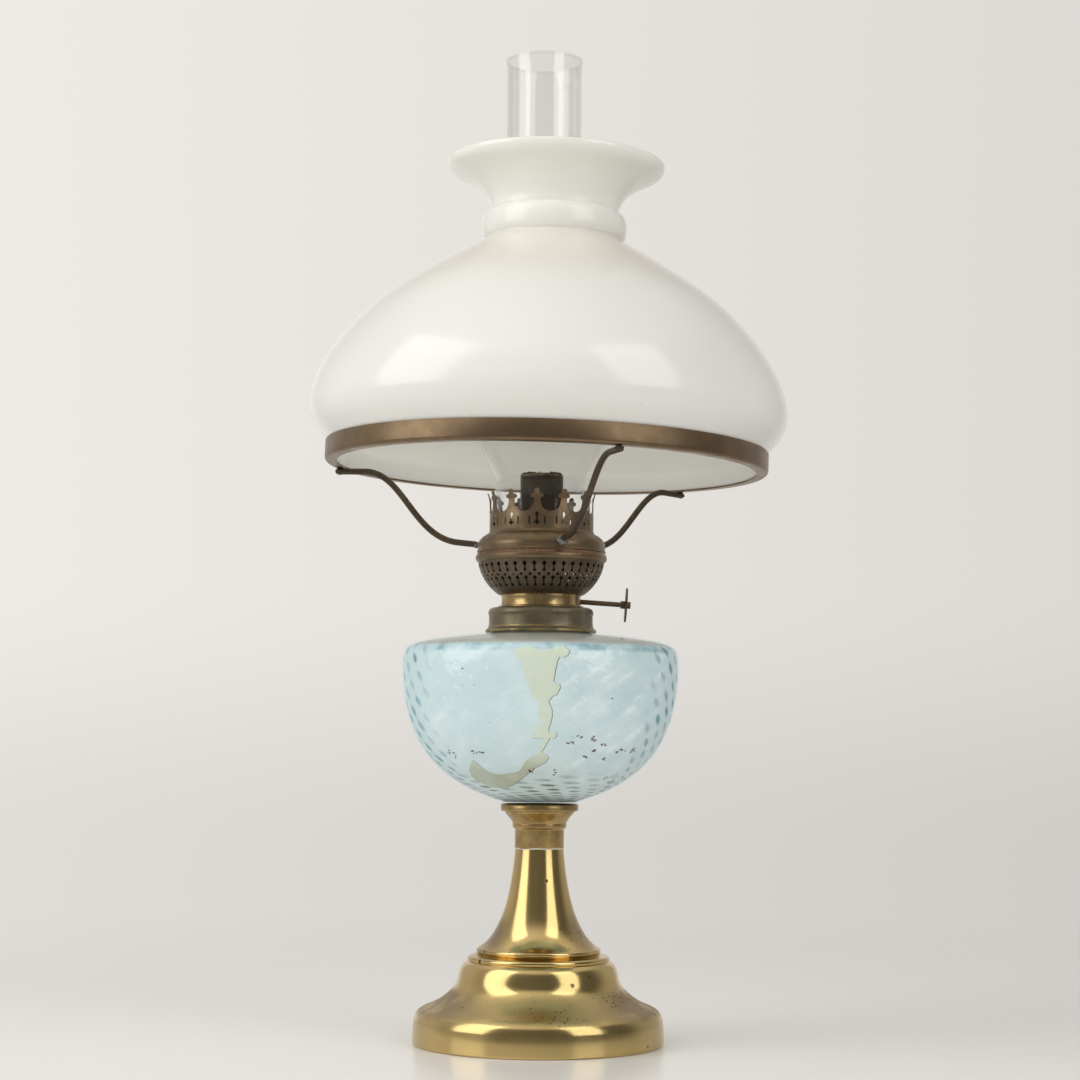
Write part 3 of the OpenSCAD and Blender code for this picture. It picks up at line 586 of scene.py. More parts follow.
@dataclass(frozen=True)
class FontLining(Finish):
    """Pale-blue lining behind the glass, with teal drops of the pattern at its sides and its foot."""

    optic: Optic = Optic()
    sole: Optic = Optic(columns=10, row=9.0, slim=1.7, short=1.4)
    pale: Color = (0.61, 0.72, 0.745)
    light: Color = (0.68, 0.78, 0.795)
    streak: Color = (0.90, 0.97, 0.975)
    blue: Color = (0.54, 0.70, 0.74)
    edge: Color = (0.46, 0.625, 0.67)
    drop: Color = (0.075, 0.235, 0.315)
    slate: Color = (0.13, 0.19, 0.205)
    bare: Color = (0.44, 0.43, 0.40)
    shadow: Color = (0.36, 0.385, 0.35)
    glow: float = 0.08
    seat: Pair = (0.1335, 0.1275)
    foot: Pair = (0.1455, 0.1360)
    under: Pair = (0.2068, 0.2108)
    top: Pair = (0.2095, 0.2116)
    collar: Pair = (0.2150, 0.2178)

    def shader(self, g: Graph) -> Wire:
        """Pale-blue clouds, side drops, slate at the foot, bare glass on top, painted shade and highlights.

        Args:
            g: Graph that takes the nodes.

        Returns:
            The shader.
        """
        x, y, z = g.axes(g.place())
        turn = g.math("ARCTAN2", x, -y)
        drops = self.optic.drops(g)
        sole = self.sole.drops(g) * z.step(*self.foot)
        reach = abs(x) / (g.radius(x, y) + AXIS_GUARD)
        side = reach.step(0.72, 0.90).most(y.step(0.015, 0.05))
        wisps = g.cloud(1, 4, 0.6, g.joined(turn * 6.0 - z * 130.0, 0.0, z * 55.0 + turn * 2.0))
        shoulder_shade = g.cloud(1, 2, 0.5, g.joined(turn * 5.5, 0.0, z * 90.0)).step(0.34, 0.68)
        under = z.band(*self.under, 0.0012)
        color = g.layers(
            self.pale,
            (g.cloud(24, 4).step(0.35, 0.65), self.light),
            # Wisps, stronger on the right: swirls in the glass, the white ones partly painted highlights.
            (wisps.step(0.50, 0.76) * (x.step(0.004, 0.030) * 0.55 + 0.3), self.streak),
            (wisps.step(0.52, 0.30) * (x.step(0.008, 0.035) * 0.4 + 0.2), self.blue),
            # Deeper blue at the flanks, more on the left: painted shading of glass seen on edge.
            (reach.step(0.76, 1.0) * (x.step(0.0, -0.03) * 0.4 + 0.55), self.edge),
            # Teal dashes in a band under the shoulder: painted shade.
            (under * (shoulder_shade * 0.45 + 0.5), self.edge),
            (under * shoulder_shade * shoulder_shade * 0.7, self.drop),
            ((1.0 - drops) * side * 0.35, self.light),
            (drops * side * (g.cloud(38, 3).step(0.34, 0.6) * 0.6 + 0.3), self.drop),
            (sole * (g.cloud(70, 2).step(0.36, 0.6) * 0.55 + 0.45), self.slate),
            # Slate band just above the cup: painted shade where the font sits in it.
            (z.step(*self.seat) * 0.75, self.slate),
            (z.step(*self.top), self.bare),
            (z.step(*self.collar) * 0.7, self.shadow),
        )
        return g.principled({
            # The emission is painted light, for light that comes through the glass.
            "Base Color": color, "Emission Color": color, "Emission Strength": self.glow,
            "Roughness": 0.42 + (g.cloud(80, 3) - 0.5) * 0.2,
            "Normal": g.relief(drops * 0.2 + g.cloud(90, 4), 0.0006, 0.4),
        })


@dataclass(frozen=True)
class Flake(Finish):
    """Bare place in the lining, where the far wall shows grey through the glass."""

    near: Color = (0.74, 0.78, 0.645)
    far: Color = (0.48, 0.51, 0.41)
    dust: Color = (0.80, 0.82, 0.70)
    glow: float = 0.02
    fade: Pair = (0.157, 0.142)

    def shader(self, g: Graph) -> Wire:
        """Cream-grey at the top, grey-green towards the foot, with fine cracks.

        Args:
            g: Graph that takes the nodes.

        Returns:
            The shader.
        """
        _, _, z = g.axes(g.place())
        dust = g.cloud(70, 4).step(0.4, 0.7) * 0.3
        cracks = g.cells(260).step(0.45, 0.8) * g.cloud(60, 3).step(0.5, 0.7) * 0.15
        color = g.layers(self.near, (z.step(*self.fade), self.far), (dust, self.dust), (cracks, self.far))
        return g.principled({
            # The emission is painted light, for light that comes through the glass.
            "Base Color": color, "Emission Color": color, "Emission Strength": self.glow,
            "Roughness": 0.5 + (g.cloud(200, 3) - 0.5) * 0.1,
            "Normal": g.relief(g.cloud(300, 3), 0.0001, 0.4),
        })


@dataclass(frozen=True)
class CharredCotton(Finish):
    """Woven wick, brown below and charred black along its edge."""

    top: float = LEVEL.wick
    brown: Color = (0.13, 0.085, 0.045)
    char: Color = (0.010, 0.008, 0.007)

    def shader(self, g: Graph) -> Wire:
        """Woven ribs that go black over the last few millimetres.

        Args:
            g: Graph that takes the nodes.

        Returns:
            The shader.
        """
        x, y, z = g.axes(g.place())
        ribs = (g.math("ARCTAN2", x, y) * 44.0).cos() * 0.5 + (z * 4200.0).cos() * 0.5
        burnt = z.step((self.top - 3.0) * MM, (self.top - 1.2) * MM)
        color = g.blend(burnt * 0.85 + g.cloud(300, 4) * 0.15, self.brown, self.char)
        return g.principled({
            "Base Color": color, "Roughness": 0.85 + (g.cloud(250, 3) - 0.5) * 0.1,
            "Normal": g.relief(ribs, 0.0003, 0.8),
        })


@dataclass(frozen=True)
class StudioFloor(Finish):
    """Pale table top that fades out towards the backdrop."""

    pale: Color = (0.93, 0.915, 0.90)
    worn: Color = (0.91, 0.895, 0.88)
    fade: Pair = (0.20, 0.95)

    def shader(self, g: Graph) -> Wire:
        """A pale, slightly glossy board, faded to nothing at its rim.

        Args:
            g: Graph that takes the nodes.

        Returns:
            The shader.
        """
        x, y, _ = g.axes(g.place())
        board = g.principled({
            "Base Color": g.blend(g.cloud(6, 2), self.pale, self.worn),
            "Roughness": 0.26, "Specular IOR Level": 0.35,
        })
        clear = g.wire(g.node("ShaderNodeBsdfTransparent"))
        return g.mixed(g.radius(x, y).step(*self.fade), board, clear)


POLISHED_BRASS = SpunBrass("spun_foot_brass")
BAND_BRASS = AgedMetal(
    "mottled_band_brass", (0.60, 0.445, 0.20), (0.31, 0.215, 0.11),
    clouds=120.0, gloss=0.17, spread=0.16, metal=0.9,
)
CAST_BRASS = AgedMetal(
    "cast_cup_brass", (0.51, 0.36, 0.15), (0.35, 0.24, 0.10),
    clouds=90.0, gloss=0.22, spread=0.14, brushed=0.3, metal=0.9,
)
DARK_BRASS = AgedMetal(
    "dark_collar_brass", (0.21, 0.178, 0.112), (0.135, 0.112, 0.07), bright=(0.40, 0.29, 0.12),
    worn=((218.3, 219.5), (221.2, 221.7)), clouds=80.0, gloss=0.28, spread=0.12, brushed=0.2,
)
PATINA_BRASS = AgedMetal(
    "brown_patina_brass", (0.27, 0.190, 0.112), (0.20, 0.148, 0.092), bright=(0.25, 0.145, 0.09),
    worn=((259.6, 261.2),), clouds=110.0, gloss=0.32, spread=0.14, metal=0.85,
)
BRONZE_SATIN = AgedMetal(
    "bronze_satin", (0.25, 0.172, 0.10), (0.20, 0.14, 0.083),
    clouds=50.0, gloss=0.33, spread=0.08, brushed=0.15, metal=0.88,
)
KNOB_BRONZE = AgedMetal(
    "knob_bronze", (0.21, 0.15, 0.09), (0.155, 0.11, 0.066), clouds=90.0, gloss=0.36, spread=0.08,
)
BASKET_BRASS = AgedMetal(
    "basket_brass", (0.18, 0.137, 0.09), (0.135, 0.106, 0.075), clouds=110.0, spread=0.14, metal=0.85,
)
WIRE_BRONZE = AgedMetal(
    "wire_bronze", (0.10, 0.073, 0.046), (0.075, 0.056, 0.037), gloss=0.36, spread=0.08,
)
SOOTED_BRASS = AgedMetal(
    "sooted_tube_brass", (0.03, 0.024, 0.018), (0.062, 0.042, 0.026), bright=(0.22, 0.15, 0.075),
    worn=((302.5, 303.6),), clouds=130.0, gloss=0.46, spread=0.14,
)
SOLDER = AgedMetal(
    "grey_solder", (0.33, 0.335, 0.33), (0.17, 0.165, 0.155),
    clouds=260.0, gloss=0.36, spread=0.2, grain=0.0004,
)
OPAL = OpalGlass("opal_shade_glass")
CLEAR = ClearGlass("clear_chimney_glass")
SKIN = FontSkin("font_glass_skin")
LINING = FontLining("pale_blue_lining")
BARE = Flake("bare_flaked_glass")
# Dark line beside the flaked patch: painted shadow of its edge.
FLAKE_EDGE_SHADOW = DullSolid("flake_edge_shadow", base=(0.13, 0.135, 0.115), second=(0.22, 0.22, 0.18), rough=0.6)
SPECK = DullSolid("brown_specks", base=(0.075, 0.038, 0.022), second=(0.16, 0.085, 0.05), rough=0.6)
COTTON = CharredCotton("charred_wick")
PLASTER = DullSolid("set_plaster", base=(0.62, 0.58, 0.50), second=(0.50, 0.46, 0.39), rough=0.85)
IRON = DullSolid("plain_iron", base=(0.22, 0.22, 0.22), second=(0.14, 0.13, 0.125), metal=1.0, rough=0.5)
FLOOR = StudioFloor("studio_floor")


# Shapes


def polar(radius: float, turn: float, height: float = 0.0) -> Vector:
    """A place by its distance from the axis, its turn in radians and its height."""
    return Vector((radius * math.cos(turn), radius * math.sin(turn), height))


def shares(t: float) -> Tuple[float, float, float, float]:
    """Weights of a cubic curve's four points at a share of its way."""
    u = 1 - t
    return u ** 3, 3 * u * u * t, 3 * u * t * t, t ** 3


def bezier(start: Pair, leave: Pair, arrive: Pair, end: Pair, steps: int) -> List[Pair]:
    """Points of a cubic curve, without its end.

    Args:
        start: Where it starts.
        leave: Handle of the start, from the start.
        arrive: Handle of the end, from the end.
        end: Where it ends.
        steps: Number of points.

    Returns:
        The points from the start on.
    """
    handles = (start[0] + leave[0], start[1] + leave[1]), (end[0] + arrive[0], end[1] + arrive[1])
    curve = []
    for k in range(steps):
        weighed = list(zip(shares(k / steps), (start, *handles, end)))
        curve.append((sum(w * p[0] for w, p in weighed), sum(w * p[1] for w, p in weighed)))
    return curve


def arc(center: Pair, radius: float, start: float, end: float, steps: int = 10) -> List[Pair]:
    """Points of an arc between two angles in degrees, both ends included."""
    turns = [math.radians(start + (end - start) * k / steps) for k in range(steps + 1)]
    return [(center[0] + radius * math.cos(a), center[1] + radius * math.sin(a)) for a in turns]


def shifted(points: Sequence[Pair], depth: float) -> List[Pair]:
    """A section moved inwards, to the left of its way.

    Args:
        points: Radius and height of each point.
        depth: How far it moves.

    Returns:
        The moved points.
    """
    out = []
    for i, p in enumerate(points):
        a, b = points[max(i - 1, 0)], points[min(i + 1, len(points) - 1)]
        dx, dz = b[0] - a[0], b[1] - a[1]
        size = math.hypot(dx, dz) or 1.0
        out.append((p[0] - dz / size * depth, p[1] + dx / size * depth))
    return out


def lifted(points: Sequence[Pair], height: float) -> List[Pair]:
    """A section moved up."""
    return [(r, z + height) for r, z in points]


def mirrored(right: Sequence[Pair]) -> List[Pair]:
    """A closed outline from its right-hand edge."""
    return list(right) + [(-x, h) for x, h in reversed(right) if x > 0]


class Maker:
    """Makes meshes, dresses them and ties them to their bodies."""

    def __init__(self) -> None:
        """Starts with no pieces."""
        self.pieces: List[Piece] = []

    def mesh(self, name: str, points: Sequence[Vector], faces: Faces, crease: float = 35.0) -> Piece:
        """A mesh from places in millimetres.

        Args:
            name: Name of the piece.
            points: Places of its corners.
            faces: Corners of each face.
            crease: Angle in degrees from which an edge stays sharp.

        Returns:
            The new object.
        """
        data = bpy.data.meshes.new(name)
        data.from_pydata([tuple(c * MM for c in p) for p in points], [], faces)
        work = bmesh.new()
        work.from_mesh(data)
        bmesh.ops.remove_doubles(work, verts=work.verts, dist=1e-6)
        bmesh.ops.recalc_face_normals(work, faces=work.faces)
        work.to_mesh(data)
        work.free()
        piece = bpy.data.objects.new(name, data)
        bpy.context.scene.collection.objects.link(piece)
        self.smooth(piece, crease)
        return piece

    def smooth(self, piece: Piece, crease: float) -> None:
        """Shades a piece smooth, apart from its sharp edges."""
        piece.data.shade_smooth()
        piece.data.set_sharp_from_angle(angle=math.radians(crease))

    def thick(self, piece: Piece, wall: float, crease: float = 35.0) -> Piece:
        """Gives a surface a wall to its inside.

        Args:
            piece: Surface whose normals look outwards.
            wall: Thickness in millimetres.
            crease: Angle in degrees from which an edge stays sharp.

        Returns:
            The same object with a solid wall.
        """
        modifier = piece.modifiers.new("wall", "SOLIDIFY")
        modifier.thickness = wall * MM
        modifier.offset = -1.0
        bpy.context.view_layer.update()
        solid = piece.evaluated_get(bpy.context.evaluated_depsgraph_get())
        data = bpy.data.meshes.new_from_object(solid)
        piece.modifiers.clear()
        piece.data = data
        self.smooth(piece, crease)
        return piece

    def lathe(
        self,
        name: str,
        section: Sequence[Pair],
        wrap: bool = True,
        segments: int = 192,
        place: Optional[Matrix] = None,
        crease: float = 35.0,
    ) -> Piece:
        """A section turned about the lamp's axis.

        Args:
            name: Name of the piece.
            section: Radius and height of each point.
            wrap: Whether the last point joins the first.
            segments: Faces round the axis.
            place: Move from the axis to where the piece sits, in millimetres.
            crease: Angle in degrees from which an edge stays sharp.

        Returns:
            The turned object.
        """
        points, faces, count = [], [], len(section)
        for k in range(segments):
            a = 2 * math.pi * k / segments
            points += [polar(r, a, z) for r, z in section]
        for k in range(segments):
            here, there = k * count, (k + 1) % segments * count
            for i in range(count if wrap else count - 1):
                j = (i + 1) % count
                ring = [here + i, there + i, there + j, here + j]
                if section[i][0] < 1e-6:
                    ring.remove(there + i)
                if section[j][0] < 1e-6:
                    ring.remove(there + j)
                if len(ring) > 2:
                    faces.append(tuple(ring))
        if place is not None:
            points = [place @ p for p in points]
        return self.mesh(name, points, faces, crease)

    def tube(self, name: str, path: Sequence[Vector], radius: Callable[[float], float]) -> Piece:
        """A round wire along a path.

        Args:
            name: Name of the piece.
            path: Places in millimetres.
            radius: Radius by share of the path.

        Returns:
            The wire.
        """
        sides = WIRE_SIDES
        points, faces, last = [], [], len(path) - 1
        for i, place in enumerate(path):
            along = (path[min(i + 1, last)] - path[max(i - 1, 0)]).normalized()
            side = Vector((0, 0, 1)).cross(along).normalized()
            up = along.cross(side)
            size = radius(i / last)
            for k in range(sides):
                a = 2 * math.pi * k / sides
                points.append(place + (side * math.cos(a) + up * math.sin(a)) * size)
        for i in range(last):
            for k in range(sides):
                a, b = i * sides + k, i * sides + (k + 1) % sides
                faces.append((a, b, b + sides, a + sides))
        faces += [tuple(range(sides)), tuple(last * sides + k for k in reversed(range(sides)))]
        return self.mesh(name, points, faces, 60)

    def pierced(
        self,
        outline: Sequence[Pair],
        holes: Sequence[Sequence[Pair]],
        grid: Sequence[Pair],
    ) -> Tuple[List[Pair], Faces]:
        """A flat sheet with holes, as triangles.

        Args:
            outline: Edge of the sheet.
            holes: Edges of the holes.
            grid: Places inside the sheet that are kept as corners.

        Returns:
            Places and triangles.
        """
        places: List[Vector] = []
        loops: List[List[int]] = []
        for loop in (outline, *holes):
            loops.append(list(range(len(places), len(places) + len(loop))))
            places += [Vector(p) for p in loop]
        places += [Vector(p) for p in grid]
        flat, _, faces, _, _, _ = delaunay_2d_cdt(places, [], loops, 2, 1e-5)
        return [(p.x, p.y) for p in flat], [tuple(face) for face in faces]

    def ringed(
        self,
        name: str,
        flat: Sequence[Pair],
        cell: Faces,
        turns: Sequence[float],
        laid: Callable[[float, float], Tuple[float, float, float]],
    ) -> Piece:
        """A sheet that is repeated round the axis.

        Args:
            name: Name of the piece.
            flat: Places of one sheet.
            cell: Triangles of one sheet.
            turns: Degrees from the front at which the sheets stand.
            laid: Radius, turn in radians and height of a place of the sheet.

        Returns:
            The sheets as one mesh.
        """
        points, faces = [], []
        for turn in turns:
            start = len(points)
            for place in flat:
                r, a, z = laid(*place)
                points.append(polar(r, a + math.radians(turn - 90), z))
            faces += [tuple(start + i for i in face) for face in cell]
        return self.mesh(name, points, faces)

    def wear(self, piece: Piece, look: Finish) -> None:
        """Gives a piece its only material."""
        piece.data.materials.clear()
        piece.data.materials.append(look.material())

    def finish(self, piece: Piece, look: Finish, body: Body, slot: Slot, *nodes: str) -> None:
        """Dresses a piece and ties it to its body.

        Args:
            piece: The object.
            look: Its finish.
            body: Body that carries it.
            slot: Material slot of the record; not used.
            nodes: CAD nodes that it stands for.
        """
        self.wear(piece, look)
        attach(piece, body.value)
        if nodes:
            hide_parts(*nodes)
        self.pieces.append(piece)
        LOG.info("piece %s: %d faces, %s", piece.name, len(piece.data.polygons), look.name)

    def coat(self, look: Finish, *nodes: str) -> None:
        """Gives CAD nodes that stay in view their finish.

        Args:
            look: The finish.
            nodes: Names of the nodes.
        """
        for node in nodes:
            self.wear(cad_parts[node], look)
            LOG.info("node %s: %s", node, look.name)


# Sub-assemblies


@dataclass
class SubAssembly:
    """Pieces that are built first and dressed after."""

    make: Maker
    made: Dict[str, Piece] = field(default_factory=dict, init=False, repr=False)

    def build(self) -> None:
        """Makes the meshes, in each kind of sub-assembly."""
        raise NotImplementedError

    def dress(self) -> None:
        """Gives the pieces their finishes, in each kind of sub-assembly."""
        raise NotImplementedError


@dataclass
class Foot(SubAssembly):
    """Spun foot with its stem."""

    radius: float = 66.9
    rim: float = 12.5
    draw: float = 0.55
    shoulder: float = 6.9
    bell: Pair = (42.9, 34.5)
    stem: Pair = (31.5, 50.7)
    top: Pair = (13.0, LEVEL.stem)
    wall: float = 0.9
    roll: float = 1.2
    hem: float = 4.0

    def side(self) -> List[Pair]:
        """Outer section from the rim to the stem's top.

        Returns:
            Radius and height of each point.
        """
        r, h, s = self.radius, self.rim, self.shoulder
        slope, edge = (r - s, h + s), (r - self.draw, h)
        bell, stem, top = self.bell, self.stem, self.top
        neck = (bell[0] - 3.4, bell[1] + 8.1)
        return (
            bezier((r, 1.6), (0, 3.4), (0.45, -4), edge, 12)
            + bezier(edge, (-0.7, 3.1), (4.5, -1.6), slope, 14)
            + bezier(slope, (-7, 2.6), (1.3, -6.5), bell, 26)
            + bezier(bell, (-0.6, 3.5), (1.9, -1.4), neck, 14)
            + arc((neck[0] - 3.2, neck[1] + 2.0), 1.7, -35, 105, 10)
            + arc((stem[0] + 0.2, stem[1] - 1.8), 1.5, -60, 80, 10)
            + bezier(stem, (-8.5, 5), (2.8, -33), top, 44)
            + [top]
        )

    def build(self) -> None:
        """Makes the shell with its rolled hem."""
        side, r, roll, wall = self.side(), self.radius, self.roll, self.wall
        inner = r - roll - self.hem
        edge = arc((r - roll, roll), roll, -90, 0, 6)
        hem = [(r - wall, 2.2), (r - roll - 0.2, wall), (inner, wall)]
        section = [(inner, 0.0)] + edge + side + list(reversed(shifted(side, wall))) + hem
        self.made["shell"] = self.make.lathe("foot_shell_spun", section, segments=256, crease=50)

    def dress(self) -> None:
        """Polishes the shell and dresses what is inside it."""
        self.make.finish(self.made["shell"], POLISHED_BRASS, Body.STAND, Slot.POLISHED, "foot_shell")
        self.make.coat(PLASTER, "foot_filling")
        self.make.coat(IRON, "bottom_plate", "tie_rod", "tie_nut", "tie_washer")


@dataclass
class FontCup(SubAssembly):
    """Cast cup between the stem and the font, with a thread of old plaster at its foot."""

    base: float = LEVEL.stem
    height: float = LEVEL.lip - LEVEL.stem
    radius: float = 13.2
    neck: float = 9.6
    bead: float = 14.4
    lip: float = 20.9
    lip_height: float = 3.7
    waves: float = 160.0
    ripple: float = 0.35
    swell: float = 0.006

    def section(self) -> List[Pair]:
        """Section of the cup above its foot.

        Returns:
            Radius and height of each point.
        """
        r, n, b, lip, h = self.radius, self.neck, self.bead, self.lip, self.height
        low = h - self.lip_height
        ogee, end = (b, n + 3.6), (lip - 2.3, low - 0.7)
        return (
            [(9.0, -4.0), (12.0, -4.0), (12.0, 0.05), (r - 0.7, 0.05), (r - 0.15, 0.3), (r, 0.9), (r, n)]
            + bezier((r, n), (0, 1.1), (0, -1.1), (b, n + 2.0), 8)
            + bezier((b, n + 2.0), (0.1, 0.6), (0.1, -0.6), ogee, 6)
            + bezier(ogee, (0.6, 2), (-1.4, -1.9), end, 14)
            + [end, (end[0] + 0.2, end[1] + 0.5), (lip - 0.75, low)]
            + bezier((lip - 0.7, low), (0.6, 0.3), (0, -0.7), (lip, h - 2.3), 6)
            + [(lip, h - 0.8), (lip - 0.2, h - 0.25), (lip - 0.6, h), (lip - 2.0, h)]
            + [(16.6, h - 4.4), (13.4, h - 8.0), (9.0, h - 9.0)]
        )

    def build(self) -> None:
        """Makes the turned cup and the plaster line at its joint."""
        self.made["cup"] = self.make.lathe("font_cup_cast", lifted(self.section(), self.base), crease=40)
        line = lifted([(12.2, -0.4), (13.02, -0.45), (13.12, 0.0), (13.05, 0.3), (12.2, 0.3)], self.base)
        seam = self.make.lathe("joint_plaster_line", line, segments=144)
        for vertex in seam.data.vertices:
            wobble = noise.noise(vertex.co * self.waves)
            vertex.co.z += self.ripple * MM * wobble
            vertex.co.xy *= 1.0 + self.swell * wobble
        self.made["seam"] = seam

    def dress(self) -> None:
        """Gives the cup its cast brass and the joint its plaster."""
        self.make.finish(self.made["cup"], CAST_BRASS, Body.STAND, Slot.CAST, "font_cup")
        self.make.finish(self.made["seam"], PLASTER, Body.STAND, Slot.PLASTER)
        self.make.coat(PLASTER, "cup_cement")


@dataclass
class Font(SubAssembly):
    """Blown glass oil font with a worn lining."""

    foot: Pair = (19.6, 127.0)
    belly: Pair = (74.7, 200.5)
    slope: Pair = (66.7, 213.0)
    rim: Pair = (31.0, LEVEL.seat)
    neck: float = 26.2
    depth: float = 0.9
    mesh: float = 1.1
    waves: Pair = (0.9, 0.6)
    bays: Pair = (0.28, 0.32)
    shadow_drift: Pair = (0.7, -0.25)
    fleck: Pair = (1.1, 0.7)
    seed: int = 7
    patch: Tuple[Pair, ...] = (
        (-11, 206.9), (-8, 208), (-4.4, 208.3), (-1, 206.9), (2.4, 206.6), (6.3, 208.1), (9.2, 208.8),
        (11.5, 206.4), (10.9, 204.2), (9, 202.8), (7.3, 203.1), (6.6, 201), (6.1, 197.4), (5.4, 193.1),
        (5.1, 190.7), (6.5, 189.6), (7.8, 188.8), (7.7, 186.8), (6.6, 184.3), (4.7, 182.9), (3.3, 180.7),
        (3.9, 178.6), (4.8, 176.1), (4.9, 173.3), (4.4, 169.7), (3.6, 166.9), (3.6, 165.4), (5.2, 164.7),
        (7, 165.1), (7.3, 163.3), (6.2, 161.7), (4.1, 161.9), (3.2, 159.7), (2, 157.2), (0.6, 154.6),
        (3.1, 153.4), (4.4, 151.8), (3, 149.6), (0.6, 148.1), (-2.3, 146.7), (-5.4, 144.7), (-8.8, 142.2),
        (-13.2, 139.8), (-19, 137.4), (-25.5, 135.8), (-31.8, 135.7), (-37.8, 136.3), (-43.1, 137.5),
        (-46.7, 139.5), (-46.7, 141.7), (-44.4, 144.4), (-40.7, 147.4), (-36.6, 150.4), (-34.7, 148.3),
        (-32.3, 145.4), (-29, 143.6), (-25.1, 142.9), (-20.7, 143.2), (-16.4, 143.8), (-12.4, 144.4),
        (-9.9, 146.4), (-8.5, 148.7), (-6.2, 151), (-3.8, 152.4), (-1.5, 153.9), (0, 156.1), (0.9, 159),
        (1.6, 161.8), (-3.1, 161.7), (-2, 164.7), (-1.3, 168.1), (1.2, 168.6), (-0.1, 171.1), (-0.4, 174.7),
        (-0.3, 178.6), (-0.8, 181), (-3.1, 182.8), (-3.9, 184.6), (-4.2, 187.4), (-4.8, 190.2), (-6.1, 193),
        (-6.9, 195.9), (-7.2, 199.4), (-8.1, 201.5), (-10.3, 204),
    )
    specks: Tuple[Tuple[float, float, float, int], ...] = (
        (-32.7, 196.9, 0.8, 1), (-27.6, 188.5, 0.35, 1), (-33, 188.5, 0.3, 1), (-22, 169.6, 0.35, 1),
        (-50, 153.3, 2.6, 9), (-35, 153.8, 1.6, 4), (-29.3, 154, 0.6, 2), (30.9, 181.9, 0.6, 1),
        (30.8, 158.7, 1.2, 4), (22, 152.4, 1.3, 4), (34, 151.3, 1.5, 5), (41.4, 156, 1.9, 7),
        (50.2, 155.2, 1.6, 6), (26.3, 155.3, 1.0, 3), (14.2, 159, 1.5, 4), (16.7, 162.3, 2.4, 6),
        (23.4, 160.8, 2.4, 6), (8.3, 144.1, 1.2, 4), (45.4, 140.4, 1.0, 4), (-3.8, 145, 1.4, 6),
    )

    def outside(self) -> List[Pair]:
        """Outer section from the cup to the collar.

        Returns:
            Radius and height of each point.
        """
        f, b, s, r = self.foot, self.belly, self.slope, self.rim
        return (
            bezier(f, (30, 9), (0, -48), b, 60)
            + bezier(b, (0, 7.5), (7, -2), s, 24)
            + bezier(s, (-8.7, 2.4), (13, -1.6), r, 20)
            + [r, (self.neck + 0.7, r[1]), (self.neck, r[1] + 0.7)]
        )

    def radius_at(self, z: float) -> float:
        """Radius of the lining at a height below the shoulder.

        Args:
            z: Height in millimetres.

        Returns:
            The radius.
        """
        section = shifted(self.outside(), self.depth)
        for (r0, z0), (r1, z1) in zip(section, section[1:]):
            if z0 <= z <= z1 and z1 > z0:
                return r0 + (r1 - r0) * (z - z0) / (z1 - z0)
        return self.belly[0] - self.depth

    def climbed(self, piece: Piece, section: Sequence[Pair]) -> None:
        """Writes on each corner how far up the wall it lies, over the radius.

        Args:
            piece: A turned piece.
            section: The section that it was turned from.
        """
        total, marks = 0.0, [(section[0][1], 0.0)]
        for (r0, z0), (r1, z1) in zip(section, section[1:]):
            total += math.hypot(r1 - r0, z1 - z0) / max((r0 + r1) / 2, 5.0)
            marks.append((z1, total))
        values = []
        for vertex in piece.data.vertices:
            z = vertex.co.z / MM
            values.append(max((m for m in marks if m[0] <= z + 1e-4), default=marks[0])[1])
        attribute = piece.data.attributes.new("climb", "FLOAT", "POINT")
        attribute.data.foreach_set("value", values)

    def laid(self, turn: float, z: float, lift: float) -> Vector:
        """A place on the lining, by degrees to the right of the front, height and how far it stands out."""
        return polar(self.radius_at(z) + lift, math.radians(turn - 90), z)

    def overlay(self, name: str, outline: Sequence[Pair], lift: float) -> Piece:
        """A patch that lies on the lining.

        Args:
            name: Name of the piece.
            outline: Turns and heights of its edge.
            lift: How far it stands out of the lining.

        Returns:
            The patch.
        """
        turns, heights = [p[0] for p in outline], [p[1] for p in outline]
        grid = [
            (min(turns) + self.mesh * i, min(heights) + self.mesh * j)
            for i in range(int((max(turns) - min(turns)) / self.mesh) + 1)
            for j in range(int((max(heights) - min(heights)) / self.mesh) + 1)
        ]
        flat, faces = self.make.pierced(outline, [], grid)
        return self.make.mesh(name, [self.laid(t, z, lift) for t, z in flat], faces, 80)

    def ragged(self, grow: float) -> List[Pair]:
        """The patch's outline with finer bays.

        Args:
            grow: How far it moves to the right and down, to outline the flake's painted shadow.

        Returns:
            Turns and heights.
        """
        out = []
        count = len(self.patch)
        for i in range(count):
            a, b = Vector(self.patch[i]), Vector(self.patch[(i + 1) % count])
            for k in range(3):
                p = a.lerp(b, k / 3)
                spot = Vector((p.x * self.waves[0], p.y * self.waves[1], 3.0))
                bay = noise.noise(spot), noise.noise(spot + Vector((0, 0, 40)))
                out.append(tuple(p[i] + self.bays[i] * bay[i] + grow * self.shadow_drift[i] for i in range(2)))
        return out

    def flecks(self) -> Tuple[List[Vector], Faces]:
        """Small ragged flecks in the groups that the lining shows.

        Returns:
            Places and faces.
        """
        dice = random.Random(self.seed)
        points: List[Vector] = []
        faces: Faces = []
        for turn, z, spread, count in self.specks:
            for _ in range(count):
                here = (turn + dice.gauss(0, spread * 0.75), z + dice.gauss(0, spread * 0.5))
                size = dice.uniform(0.3, 0.8) if count > 1 else spread * 0.85
                ring = []
                for a in (2 * math.pi * k / 9 for k in range(9)):
                    reach = size * dice.uniform(0.6, 1.2)
                    across, up = reach * self.fleck[0] * math.cos(a), reach * self.fleck[1] * math.sin(a)
                    ring.append(len(points))
                    points.append(self.laid(here[0] + across, here[1] + up, 0.13))
                faces.append(tuple(ring))
        return points, faces

